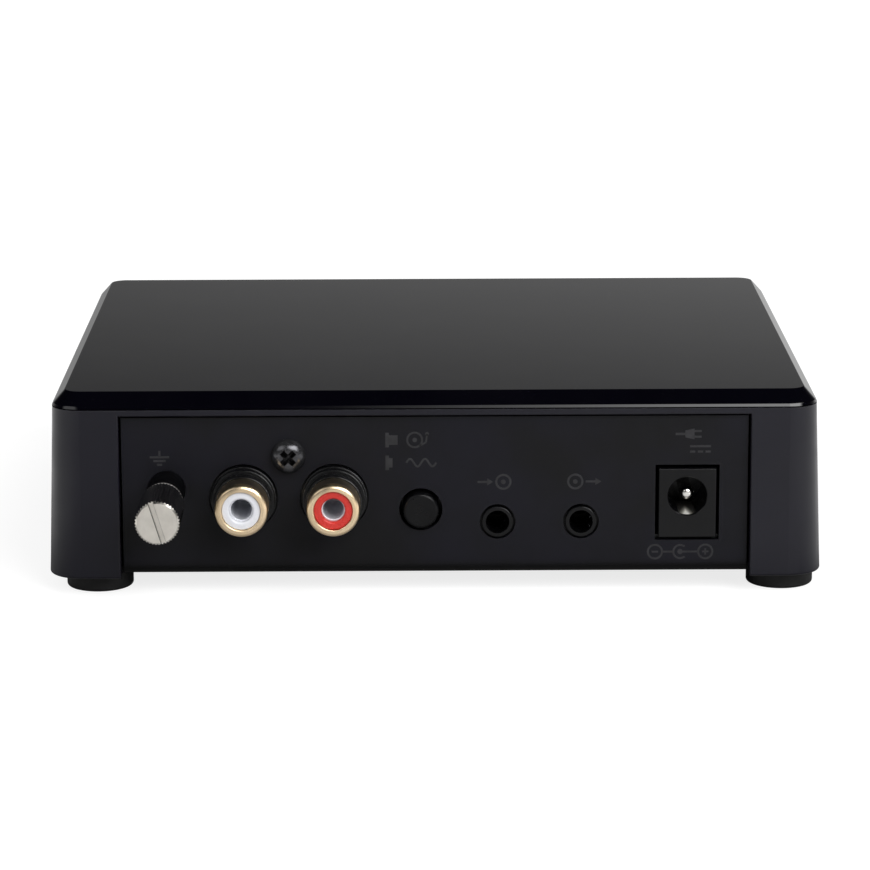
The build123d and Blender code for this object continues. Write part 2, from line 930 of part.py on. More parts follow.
power_axis = axis_plane(power_x, power_z)
bore_floor = power_reach - power_bore_depth
power_back = power_reach - power_length
leaf_slot_depth = power_bore_radius + power_leaf_slot
with BuildPart() as power_housing:
    with BuildSketch(panel_plane(power_reach)):
        with Locations((power_x, power_mid_z)):
            Rectangle(power_width, power_height_above_board)
    extrude(amount=-power_length)
    fillet(power_housing.faces().sort_by(Axis.Y)[0].edges(), power_round)
    tube(power_axis, 0, power_bore_radius, bore_floor, power_reach, Mode.SUBTRACT)
    mouth = power_housing.faces().sort_by(Axis.Y)[0].inner_wires().edges()
    chamfer(mouth, power_bore_chamfer)
    tube(
        power_axis,
        0,
        power_pin_root_radius + fit_gap,
        power_back,
        bore_floor,
        Mode.SUBTRACT,
    )
    # Slot in the bore's lower side for the spring contact
    with BuildSketch(panel_plane(power_reach - power_leaf_recess / 2)):
        with Locations((power_x, power_z)):
            Rectangle(
                power_leaf_width + 2 * slide_gap,
                leaf_slot_depth,
                align=(Align.CENTER, Align.MAX),
            )
    extrude(amount=power_leaf_recess / 2 - power_bore_depth, mode=Mode.SUBTRACT)
power_housing.part.label = "power_socket_housing"
export_step(power_housing.part, "parts/power_socket_housing.step")

with BuildPart() as power_pin:
    tube(power_axis, 0, power_pin_radius, bore_floor, power_reach - power_pin_recess)
    fillet(power_pin.faces().sort_by(Axis.Y)[0].edges(), 0.8 * power_pin_radius)
    tube(power_axis, 0, power_pin_root_radius, power_back, bore_floor)
power_pin.part.label = "power_socket_pin"
export_step(power_pin.part, "parts/power_socket_pin.step")

with BuildPart() as power_leaf:
    # Side view of a strip that lies in the slot and bows up into the bore
    leaf_start_y = panel_y - power_reach + power_leaf_recess
    leaf_end_y = panel_y - bore_floor
    leaf_mid_y = (leaf_start_y + leaf_end_y) / 2
    leaf_z = power_z - leaf_slot_depth
    with BuildSketch(Plane.YZ.offset(power_x - power_leaf_width / 2)):
        with BuildLine():
            low_side = ThreePointArc(
                (leaf_start_y, leaf_z),
                (leaf_mid_y, leaf_z + power_leaf_bow),
                (leaf_end_y, leaf_z),
            )
            high_side = ThreePointArc(
                (leaf_start_y, leaf_z + power_leaf_thickness),
                (leaf_mid_y, leaf_z + power_leaf_thickness + power_leaf_bow),
                (leaf_end_y, leaf_z + power_leaf_thickness),
            )
            Line(low_side @ 0, high_side @ 0)
            Line(low_side @ 1, high_side @ 1)
        make_face()
    extrude(amount=power_leaf_width)
power_leaf.part.label = "power_socket_spring"
export_step(power_leaf.part, "parts/power_socket_spring.step")

# ------------------------------------------------------------------ ground terminal

ground_axis = axis_plane(ground_x, ground_z)
ground_place = [(ground_x, ground_z)]
insert_bore = screw_radius + slide_gap

with BuildPart() as ground_bush:
    tube(ground_axis, 0, bush_radius, 0, bush_reach)
    fillet(ground_bush.faces().sort_by(Axis.Y)[0].edges(), bush_round)
    tube(ground_axis, 0, bush_spigot_radius, -sheet, 0)
    tube(ground_axis, 0, insert_radius + fit_gap, -sheet, bush_reach, Mode.SUBTRACT)
ground_bush.part.label = "ground_bush"
export_step(ground_bush.part, "parts/ground_bush.step")

with BuildPart() as ground_insert:
    tube(ground_axis, insert_bore, insert_radius, -insert_depth, bush_reach)
ground_insert.part.label = "ground_threaded_insert"
export_step(ground_insert.part, "parts/ground_threaded_insert.step")

inner_washer_back = -sheet - inner_washer_thickness
with BuildPart() as ground_inner_washer:
    tube(
        ground_axis,
        insert_radius + fit_gap,
        inner_washer_radius,
        inner_washer_back,
        -sheet,
    )
ground_inner_washer.part.label = "ground_insulating_washer"
export_step(ground_inner_washer.part, "parts/ground_insulating_washer.step")

tag_back = inner_washer_back - tag_thickness
with BuildPart() as ground_tag:
    with BuildSketch(panel_plane(inner_washer_back)):
        with Locations((ground_x, ground_z)):
            Circle(tag_radius)
            Rectangle(tag_width, tag_drop, align=(Align.CENTER, Align.MAX))
            Circle(insert_radius + fit_gap, mode=Mode.SUBTRACT)
    extrude(amount=-tag_thickness)
ground_tag.part.label = "ground_solder_tag"
export_step(ground_tag.part, "parts/ground_solder_tag.step")

with BuildPart() as ground_nut:
    prism(
        panel_plane(tag_back),
        ground_place,
        lambda: RegularPolygon(nut_across_flats / 2, 6, major_radius=False),
        -nut_thickness,
    )
    prism(
        panel_plane(tag_back),
        ground_place,
        lambda: Circle(insert_radius + fit_gap),
        -nut_thickness,
        Mode.SUBTRACT,
    )
ground_nut.part.label = "ground_nut"
export_step(ground_nut.part, "parts/ground_nut.step")

with BuildPart() as ground_wire:
    wire_y = panel_y - tag_back
    wire_z = board_top_z + wire_rise
    with BuildLine() as wire_route:
        FilletPolyline(
            (ground_x, wire_y, wire_z),
            (ground_x, wire_y + wire_run, wire_z),
            (ground_x, wire_y + wire_run, board_top_z),
            radius=wire_bend_radius,
        )
    with BuildSketch(Plane(origin=wire_route.line @ 0, z_dir=wire_route.line % 0)):
        Circle(wire_radius)
    sweep(path=wire_route.line)
ground_wire.part.label = "ground_wire"
export_step(ground_wire.part, "parts/ground_wire.step")

with BuildPart() as captive_washer:
    tube(
        ground_axis,
        insert_bore,
        captive_washer_radius,
        bush_reach,
        captive_washer_reach,
    )
captive_washer.part.label = "ground_captive_washer"
export_step(captive_washer.part, "parts/ground_captive_washer.step")

with BuildPart() as thumb_screw:
    # Straight knurl: the outline's radius goes in and out once for each tooth
    knurl = [
        Vector(thumb_screw_radius - knurl_depth * (step % 2), 0).rotate(
            Axis.Z, 180 * step / knurl_teeth
        )
        for step in range(2 * knurl_teeth)
    ]
    knurl_start = (ground_x, panel_y - captive_washer_reach, ground_z)
    with BuildSketch(Plane(origin=knurl_start, x_dir=(1, 0, 0), z_dir=(0, -1, 0))):
        with BuildLine():
            Polyline(*knurl, close=True)
        make_face()
    extrude(amount=thumb_screw_length)
    # Both ends are chamfered, so the body is cut to a turned outline
    low = captive_washer_reach
    high = thumb_screw_reach
    lathe(
        ground_axis,
        [
            (0, low),
            (thumb_screw_radius - thumb_screw_rear_chamfer, low),
            (thumb_screw_radius, low + thumb_screw_rear_chamfer),
            (thumb_screw_radius, high - thumb_screw_chamfer),
            (thumb_screw_radius - thumb_screw_chamfer, high),
            (0, high),
        ],
        Mode.INTERSECT,
    )
    tube(ground_axis, 0, screw_radius, low - thumb_screw_shank, low)
    prism(
        panel_plane(high),
        ground_place,
        lambda: Rectangle(thumb_slot_width, 3 * thumb_screw_radius, rotation=thumb_slot_turn),
        -thumb_slot_depth,
        Mode.SUBTRACT,
    )
thumb_screw.part.label = "ground_thumb_screw"
export_step(thumb_screw.part, "parts/ground_thumb_screw.step")

# ------------------------------------------------------------------ status lamp and light guide

# These two lie along +Y, so their plane's Y points at the front wall.
front_axis = Plane(origin=(0, 0, lamp_z), x_dir=(1, 0, 0), z_dir=(0, 0, 1))
guide_face_y = front_y - wall_lean(lamp_z) + guide_proud
inner_wall_y = front_y - wall - wall_lean(lamp_z + guide_flange_radius)
guide_seat_y = inner_wall_y - guide_wall_gap
guide_back_y = guide_seat_y - guide_flange_length
with BuildPart() as light_guide:
    tube(front_axis, 0, guide_flange_radius, guide_back_y, guide_seat_y)
    tube(front_axis, 0, guide_radius, guide_seat_y, guide_face_y)
    fillet(light_guide.faces().sort_by(Axis.Y)[-1].edges(), guide_round)
light_guide.part.label = "light_guide"
export_step(light_guide.part, "parts/light_guide.step")

lamp_tip_y = guide_back_y - guide_lamp_gap
lamp_back_y = lamp_tip_y - lamp_length
with BuildPart() as status_lamp:
    tube(front_axis, 0, lamp_radius, lamp_back_y, lamp_tip_y)
    fillet(status_lamp.faces().sort_by(Axis.Y)[-1].edges(), 0.9 * lamp_radius)
    tube(front_axis, 0, lamp_flange_radius, lamp_back_y, lamp_back_y + lamp_flange_length)
    # Two legs, back out of the body and down to the board
    with BuildSketch(Plane.YZ):
        with BuildLine():
            Polyline(
                (lamp_back_y, lamp_z + lamp_leg_width / 2),
                (lamp_back_y - 2 * lamp_leg_width, lamp_z + lamp_leg_width / 2),
                (lamp_back_y - 2 * lamp_leg_width, board_top_z),
                (lamp_back_y - lamp_leg_width, board_top_z),
                (lamp_back_y - lamp_leg_width, lamp_z - lamp_leg_width / 2),
                (lamp_back_y, lamp_z - lamp_leg_width / 2),
                close=True,
            )
        make_face()
    extrude(amount=(lamp_leg_pitch + lamp_leg_width) / 2, both=True)
    with BuildSketch(Plane.YZ):
        with Locations((lamp_back_y, board_top_z)):
            Rectangle(
                2 * lamp_leg_width + lamp_length,
                2 * lamp_height,
                align=(Align.MAX, Align.MIN),
            )
    extrude(
        amount=(lamp_leg_pitch - lamp_leg_width) / 2, both=True, mode=Mode.SUBTRACT
    )
status_lamp.part.label = "status_lamp"
export_step(status_lamp.part, "parts/status_lamp.step")

# ------------------------------------------------------------------ electronics

can_places = [
    (cans_x + column * can_pitch_x / 2, board_mid_y + cans_y + row * can_pitch_y / 2)
    for column in (-1, 1)
    for row in (-1, 1)
]
for number, (x, y) in enumerate(can_places, start=1):
    can_axis = Plane(origin=(x, y, board_top_z), x_dir=(1, 0, 0), z_dir=(0, -1, 0))
    with BuildPart() as capacitor_can:
        tube(can_axis, 0, can_radius, 0, can_height)
        fillet(capacitor_can.faces().sort_by(Axis.Z)[-1].edges(), can_round)
        lathe(
            can_axis,
            [
                (can_radius - can_groove_depth, can_groove_height),
                (can_radius + can_groove_depth, can_groove_height - can_groove_depth),
                (can_radius + can_groove_depth, can_groove_height + can_groove_depth),
            ],
            Mode.SUBTRACT,
        )
    capacitor_can.part.label = f"electrolytic_capacitor_{number}"
    export_step(capacitor_can.part, f"parts/electrolytic_capacitor_{number}.step")

film_places = [
    (films_x + (index - (film_count - 1) / 2) * film_pitch, board_mid_y + films_y)
    for index in range(film_count)
]
for number, place in enumerate(film_places, start=1):
    with BuildPart() as film_capacitor:
        prism(
            Plane.XY.offset(board_top_z),
            [place],
            lambda: Rectangle(film_width, film_length),
            film_height,
        )
        fillet(film_capacitor.edges().filter_by(Axis.Z), film_round)
        fillet(film_capacitor.faces().sort_by(Axis.Z)[-1].edges(), film_round / 2)
    film_capacitor.part.label = f"film_capacitor_{number}"
    export_step(film_capacitor.part, f"parts/film_capacitor_{number}.step")

for side, sign in (("left", -1), ("right", 1)):
    chip_x = chips_x + sign * chips_pitch / 2
    chip_y = board_mid_y + chips_y
    with BuildPart() as op_amp:
        prism(
            Plane.XY.offset(board_top_z + chip_lift),
            [(chip_x, chip_y)],
            lambda: Rectangle(chip_length, chip_width),
            chip_height,
        )
        chamfer(op_amp.faces().sort_by(Axis.Z)[-1].edges(), chip_lift)
        prism(
            Plane.XY.offset(board_top_z + chip_lift + chip_height),
            [(chip_x - chip_length / 2 + chip_lift, chip_y)],
            lambda: Circle(chip_notch_radius),
            -chip_notch_radius,
            Mode.SUBTRACT,
        )
        # Legs: a strip across the body, cut away between the legs
        for pair in range(chip_leg_pairs):
            leg_x = chip_x + (pair - (chip_leg_pairs - 1) / 2) * chip_leg_pitch
            with BuildSketch(Plane.YZ.offset(leg_x - chip_leg_width / 2)) as leg_outline:
                with Locations((chip_y, board_top_z)):
                    Rectangle(
                        chip_leg_spread,
                        chip_lift + chip_height / 2,
                        align=(Align.CENTER, Align.MIN),
                    )
                    Rectangle(
                        chip_leg_spread - 2 * chip_leg_width,
                        chip_lift + chip_height / 2 - chip_leg_width,
                        align=(Align.CENTER, Align.MIN),
                        mode=Mode.SUBTRACT,
                    )
            extrude(leg_outline.sketch, amount=chip_leg_width)
    op_amp.part.label = f"op_amp_{side}"
    export_step(op_amp.part, f"parts/op_amp_{side}.step")

with BuildPart() as resistors:
    resistor_axis_z = board_top_z + resistor_lift + resistor_radius
    for column in range(resistor_columns):
        for row in range(resistor_rows):
            x = resistors_x + (column - (resistor_columns - 1) / 2) * resistor_pitch_x
            y = board_mid_y + resistors_y + (row - (resistor_rows - 1) / 2) * resistor_pitch_y
            lying = Plane(origin=(x, y, resistor_axis_z), x_dir=(1, 0, 0), z_dir=(0, 0, 1))
            half = resistor_length / 2
            bulge = resistor_length / 4
            waist_radius = resistor_radius - resistor_waist
            lathe(
                lying,
                [
                    (0, -half),
                    (resistor_radius, -half),
                    (resistor_radius, -bulge),
                    (waist_radius, -bulge + resistor_waist),
                    (waist_radius, bulge - resistor_waist),
                    (resistor_radius, bulge),
                    (resistor_radius, half),
                    (0, half),
                ],
            )
            lead_end = resistor_span / 2
            tube(lying, 0, resistor_leg_radius, -lead_end, lead_end)
            prism(
                Plane.XY.offset(board_top_z),
                [(x, y - lead_end), (x, y + lead_end)],
                lambda: Circle(resistor_leg_radius),
                resistor_axis_z - board_top_z,
            )
resistors.part.label = "resistors"
export_step(resistors.part, "parts/resistors.step")

with BuildPart() as voltage_regulator:
    regulator_place_y = board_mid_y + regulator_y
    body_z = board_top_z + regulator_leg_length
    prism(
        Plane.XY.offset(body_z),
        [(regulator_x, regulator_place_y)],
        lambda: Rectangle(regulator_width, regulator_body_thickness),
        regulator_body_height,
    )
    front_edges = voltage_regulator.faces().sort_by(Axis.Y)[0].edges()
    chamfer(front_edges, regulator_tab_thickness / 2)
    tab_y = regulator_place_y + (regulator_body_thickness - regulator_tab_thickness) / 2
    prism(
        Plane.XY.offset(body_z),
        [(regulator_x, tab_y)],
        lambda: Rectangle(regulator_width, regulator_tab_thickness),
        regulator_body_height + regulator_tab_height,
    )
    prism(
        Plane.XZ.offset(-regulator_place_y),
        [(regulator_x, body_z + regulator_body_height + regulator_tab_height / 2)],
        lambda: Circle(regulator_hole_radius),
        -regulator_body_thickness,
        Mode.SUBTRACT,
    )
    prism(
        Plane.XY.offset(board_top_z),
        [(regulator_x + step * regulator_leg_pitch, regulator_place_y) for step in (-1, 0, 1)],
        lambda: Rectangle(regulator_leg_width, regulator_leg_width),
        regulator_leg_length,
    )
voltage_regulator.part.label = "voltage_regulator"
export_step(voltage_regulator.part, "parts/voltage_regulator.step")
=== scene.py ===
import math

import bpy
import numpy as np
from mathutils import Matrix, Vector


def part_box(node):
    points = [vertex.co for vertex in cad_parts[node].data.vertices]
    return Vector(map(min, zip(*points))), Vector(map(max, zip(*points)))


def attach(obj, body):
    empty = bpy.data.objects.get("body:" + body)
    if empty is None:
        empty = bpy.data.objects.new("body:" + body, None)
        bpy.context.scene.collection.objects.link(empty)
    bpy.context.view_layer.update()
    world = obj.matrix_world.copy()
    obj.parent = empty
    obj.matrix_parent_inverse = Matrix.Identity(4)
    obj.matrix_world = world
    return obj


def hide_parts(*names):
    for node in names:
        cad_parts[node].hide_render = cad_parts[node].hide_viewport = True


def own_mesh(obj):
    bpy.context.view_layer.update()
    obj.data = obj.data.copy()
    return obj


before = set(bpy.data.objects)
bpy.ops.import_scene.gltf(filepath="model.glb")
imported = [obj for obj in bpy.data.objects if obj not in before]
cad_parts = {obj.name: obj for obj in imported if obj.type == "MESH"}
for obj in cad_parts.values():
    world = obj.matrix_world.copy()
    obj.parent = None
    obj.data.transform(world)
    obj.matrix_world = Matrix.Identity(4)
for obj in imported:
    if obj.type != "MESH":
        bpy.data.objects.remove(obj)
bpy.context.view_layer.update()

# Phono preamp in a low box, in metres. X runs along the connector panel, -Y points out of it,
# +Z is up. The CAD nodes keep their meshes and get procedural finishes. Made here are the printed
# marks, the thumb screw's thread, and a copy of the return spring.

MM = 0.001

# ------ sizes and places

INK_PROUD = 0.015 * MM  # of the printed marks
INK_SUNK = 0.02 * MM
RING_POINTS = 33
DISC_POINTS = 21
DISC_CUT = 0.06  # angle left off at each end, where a disc would have no width
WAVE_POINTS = 49
ARROW_TIP = 0.02  # width at an arrow's tip, as a share of its base
UPPER_MARKS = 11.0 * MM  # the two rows of marks over the button
LOWER_MARKS = 7.4 * MM
THREAD_PITCH = 0.5 * MM
THREAD_CREST = 0.05 * MM  # above the thumb screw's plain shank
THREAD_FOOT = 0.04 * MM  # below the shank's surface
THREAD_SECTION = (0.06, 0.5, 0.94)  # foot, crest and foot, as shares of the pitch
THREAD_LENGTH = 8.2 * MM
THREAD_STEPS = 32  # points in each turn
SHANK_RADIUS = 1.45 * MM
PANEL_BEND_SHADE = (5.6 * MM, 4.0 * MM)  # heights between which painted shade darkens the panel towards its bend
# Painted shade on the gold phono sockets: darker above the axis, on the sleeve and the upper left.
SHADE_BEHIND_LIP = (0.8 * MM, 1.5 * MM)  # painted shade on a phono socket's sleeve, from this far behind its lip
SHADE_LEFT = (0.2 * MM, -1.6 * MM)  # painted shade on its upper left, from this far from its axis
# painted shade rises above the axis between these heights
SHADE_UP = (1.5 * MM, 4.2 * MM)
SCREW_END = (-0.5, -0.9)  # Y of the normal, from the thumb screw's side to its end face
SPRING_HIGHLIGHT_LEFT = 0.1 * MM  # middle of the painted highlight on the power socket's spring, from the socket's axis
SPRING_HIGHLIGHT_TAPER = 0.30  # narrower by this share of the way in
SPRING_HIGHLIGHT_WIDE = (1.45 * MM, 0.70 * MM)  # half widths of the painted highlight at the mouth, its dim part
# half widths of the painted highlight's bright core at the mouth
SPRING_HIGHLIGHT_CORE = (0.95 * MM, 0.35 * MM)
WIRE_STRIPE = (0.05 * MM, 0.12 * MM)  # from the wire's middle to its yellow side
BOARD_PITCH = 2.54 * MM
CAN_STRIPE = (-3.3 * MM, -3.5 * MM)  # where the pale stripe starts, from the can's middle
CAN_LID = (3.3 * MM, 3.2 * MM)  # radii between which the sleeve ends
CAN_TOP = (-0.2 * MM, -0.1 * MM)
CAN_SCORE = 0.1 * MM  # half width of the two scored lines
CHIP_HALF_WIDTH = 3.20 * MM
REGULATOR_MIDDLE = 6.3 * MM  # above the ends of its legs
REGULATOR_HALF_HEIGHT = 4.28 * MM
REGULATOR_DEPTH = 3.18 * MM  # from its face to the tab
RESISTOR_END = 4.8 * MM  # from the middle of a resistor to the end of its leads
RESISTOR_BODY = (3.10 * MM, 3.12 * MM)  # to the end of its body
RESISTOR_BANDS = (  # place and colour
    (-2.1 * MM, (0.12, 0.04, 0.015)),
    (-1.3 * MM, (0.01, 0.01, 0.01)),
    (-0.5 * MM, (0.01, 0.01, 0.01)),
    (0.3 * MM, (0.45, 0.02, 0.015)),
    (2.1 * MM, (0.12, 0.04, 0.015)),
)
BAND_EDGE = (0.24 * MM, 0.20 * MM)  # half of a band's width, with its soft edge
GRIME_ROUGH = 0.3  # roughness that dirt adds
MIX_FACTOR, MIX_UNDER, MIX_OVER, MIX_RESULT = 0, 6, 7, 2  # sockets of a Mix node for colours
SMOOTH_BELOW = math.radians(30.0)  # edges with a larger angle stay sharp


def middle(name):
    """Centre of a CAD node's box."""
    low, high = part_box(name)
    return (low + high) / 2


panel_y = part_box("chassis")[0].y
ground = middle("ground_bush")
phono_left = middle("phono_socket_shell_left")
phono_right = middle("phono_socket_shell_right")
button = middle("button_cap")
jack_in = middle("line_in_sleeve_contact")
jack_out = middle("line_out_sleeve_contact")
power_axis = middle("power_socket_pin")

# ------ shader helpers


def put(tree, kind, inputs=None, out=0, **settings):
    """Add a shader node and return one output. An input takes a value or another node's output."""
    made = tree.nodes.new(kind)
    for name, value in settings.items():
        setattr(made, name, value)
    for key, value in (inputs or {}).items():
        socket = made.inputs[key]
        if isinstance(value, bpy.types.NodeSocket):
            tree.links.new(value, socket)
        else:
            socket.default_value = value
    return made.outputs[out]


def maths(tree, operation, *values, clamp=False):
    """Math node on up to three values."""
    return put(
        tree, "ShaderNodeMath", dict(enumerate(values)), operation=operation, use_clamp=clamp
    )


def between(tree, value, low, high, start=0.0, end=1.0):
    """start up to low, end from high, smooth in between. High may be below low."""
    span = {"Value": value, "From Min": low, "From Max": high, "To Min": start, "To Max": end}
    return put(tree, "ShaderNodeMapRange", span, interpolation_type="SMOOTHSTEP")


def mix(tree, factor, low, high):
    """low where the factor is 0, high where it is 1."""
    return put(tree, "ShaderNodeMix", {"Factor": factor, "A": low, "B": high}, data_type="FLOAT")


def vector_maths(tree, operation, *values, out=0):
    """Vector Math node on up to three vectors."""
    return put(
        tree, "ShaderNodeVectorMath", dict(enumerate(values)), out=out, operation=operation
    )


def object_place(tree):
    """Object coordinates, which are a point's place in the frame at rest, in metres."""
    return put(tree, "ShaderNodeTexCoord", out="Object")


def along(tree, vector, axis):
    """One coordinate of a vector."""
    return put(tree, "ShaderNodeSeparateXYZ", {"Vector": vector}, out=axis)


def noise(tree, place, scale, detail=3.0, roughness=0.5):
    """Noise from 0 to 1, mostly near 0.5."""
    inputs = {"Vector": place, "Scale": scale, "Detail": detail, "Roughness": roughness}
    return put(tree, "ShaderNodeTexNoise", inputs)


def new_group(name, inputs, outputs):
    """Node group with float or vector sockets. Returns its tree, inputs and end node's sockets."""
    tree = bpy.data.node_groups.new(name, "ShaderNodeTree")
    for label, value in inputs.items():
        kind = "NodeSocketVector" if isinstance(value, tuple) else "NodeSocketFloat"
        tree.interface.new_socket(label, in_out="INPUT", socket_type=kind).default_value = value
    for label in outputs:
        tree.interface.new_socket(label, in_out="OUTPUT", socket_type="NodeSocketFloat")
    start = tree.nodes.new("NodeGroupInput")
    end = tree.nodes.new("NodeGroupOutput")
    return tree, start.outputs, end.inputs


# ------ effects shared by finishes


def make_grain():
    """Moulded or sprayed grain: a fine height and a slow tone that shifts over the part."""
    tree, given, result = new_group("Grain", {"Pitch": 0.0002, "Drift": 40.0}, ["Height", "Tone"])
    place = object_place(tree)
    fine = noise(tree, place, maths(tree, "DIVIDE", 1.0, given["Pitch"]), roughness=0.6)
    slow = noise(tree, place, given["Drift"], detail=4.0, roughness=0.55)
    tree.links.new(fine, result["Height"])
    tree.links.new(between(tree, slow, 0.3, 0.7), result["Tone"])
    return tree


def make_edge_wear_and_highlight():
    """Brighter edges, rubbed wear on most finishes and painted highlights on the thumb screw's
    knurl: where the rounded normal leaves the true one, broken up by noise.
    """
    tree, given, result = new_group("Edge wear and highlight", {"Reach": 0.0003, "Amount": 1.0}, ["Mask"])
    rounded = put(tree, "ShaderNodeBevel", {"Radius": given["Reach"]}, samples=4)
    true_normal = put(tree, "ShaderNodeNewGeometry", out="Normal")
    alike = vector_maths(tree, "DOT_PRODUCT", rounded, true_normal, out="Value")
    edge = between(tree, maths(tree, "SUBTRACT", 1.0, alike), 0.01, 0.12)
    patches = noise(tree, object_place(tree), scale=600.0)
    worn = maths(tree, "MULTIPLY", edge, between(tree, patches, 0.35, 0.65))
    tree.links.new(maths(tree, "MULTIPLY", worn, given["Amount"], clamp=True), result["Mask"])
    return tree


def make_dust():
    """Fine dust on faces that look up, in flecks and in a thin film."""
    tree, given, result = new_group("Dust", {"Amount": 0.5}, ["Mask"])
    place = object_place(tree)
    normal = put(tree, "ShaderNodeNewGeometry", out="Normal")
    film = noise(tree, place, scale=90.0, detail=5.0)
    flecks = noise(tree, place, scale=2600.0, detail=1.0)
    specks = between(tree, flecks, 0.68, 0.76)
    layer = maths(tree, "MULTIPLY_ADD", between(tree, film, 0.4, 0.8), 0.5, specks)
    facing = maths(tree, "POWER", maths(tree, "MAXIMUM", along(tree, normal, "Z"), 0.0), 3.0)
    mask = maths(tree, "MULTIPLY", maths(tree, "MULTIPLY", layer, facing), given["Amount"])
    tree.links.new(mask, result["Mask"])
    return tree


def make_grime_and_shade():
    """Painted shade and dirt in corners and recesses: darker where the same piece closes off the
    view, broken by noise.
    """
    tree, given, result = new_group("Grime and shade", {"Reach": 0.0005, "Amount": 1.0}, ["Mask"])
    reach = {"Distance": given["Reach"]}
    open_share = put(
        tree, "ShaderNodeAmbientOcclusion", reach, out="AO", samples=8, only_local=True
    )
    uneven = between(tree, noise(tree, object_place(tree), scale=900.0), 0.3, 0.6, 0.7, 1.0)
    closed = maths(tree, "MULTIPLY", between(tree, open_share, 0.9, 0.45), uneven)
    tree.links.new(maths(tree, "MULTIPLY", closed, given["Amount"], clamp=True), result["Mask"])
    return tree


def make_turned_rings():
    """Lathe marks: noise on the distance from an axis that runs along Y through Centre."""
    tree, given, result = new_group(
        "Turned rings", {"Centre": (0.0, 0.0, 0.0), "Pitch": 0.0001}, ["Height"]
    )
    offset = vector_maths(tree, "SUBTRACT", object_place(tree), given["Centre"])
    flat = vector_maths(tree, "MULTIPLY", offset, (1.0, 0.0, 1.0))
    radius = vector_maths(tree, "LENGTH", flat, out="Value")
    rings = put(
        tree,
        "ShaderNodeTexNoise",
        {"W": maths(tree, "DIVIDE", radius, given["Pitch"]), "Scale": 1.0, "Detail": 2.0},
        noise_dimensions="1D",
    )
    tree.links.new(rings, result["Height"])
    return tree


def make_streaks():
    """Drawn or rubbed lines along Y: noise that changes slowly on the axis where Squeeze is low."""
    squeeze = (1.0, 0.06, 1.0)
    tree, given, result = new_group("Streaks", {"Squeeze": squeeze, "Scale": 4000.0}, ["Height"])
    squeezed = vector_maths(tree, "MULTIPLY", object_place(tree), given["Squeeze"])
    lines = noise(tree, squeezed, given["Scale"], roughness=0.6)
    tree.links.new(lines, result["Height"])
    return tree


grain = make_grain()
edge_wear_and_highlight = make_edge_wear_and_highlight()
dust = make_dust()
grime_and_shade = make_grime_and_shade()
turned_rings = make_turned_rings()
streaks = make_streaks()

# ------ finishes


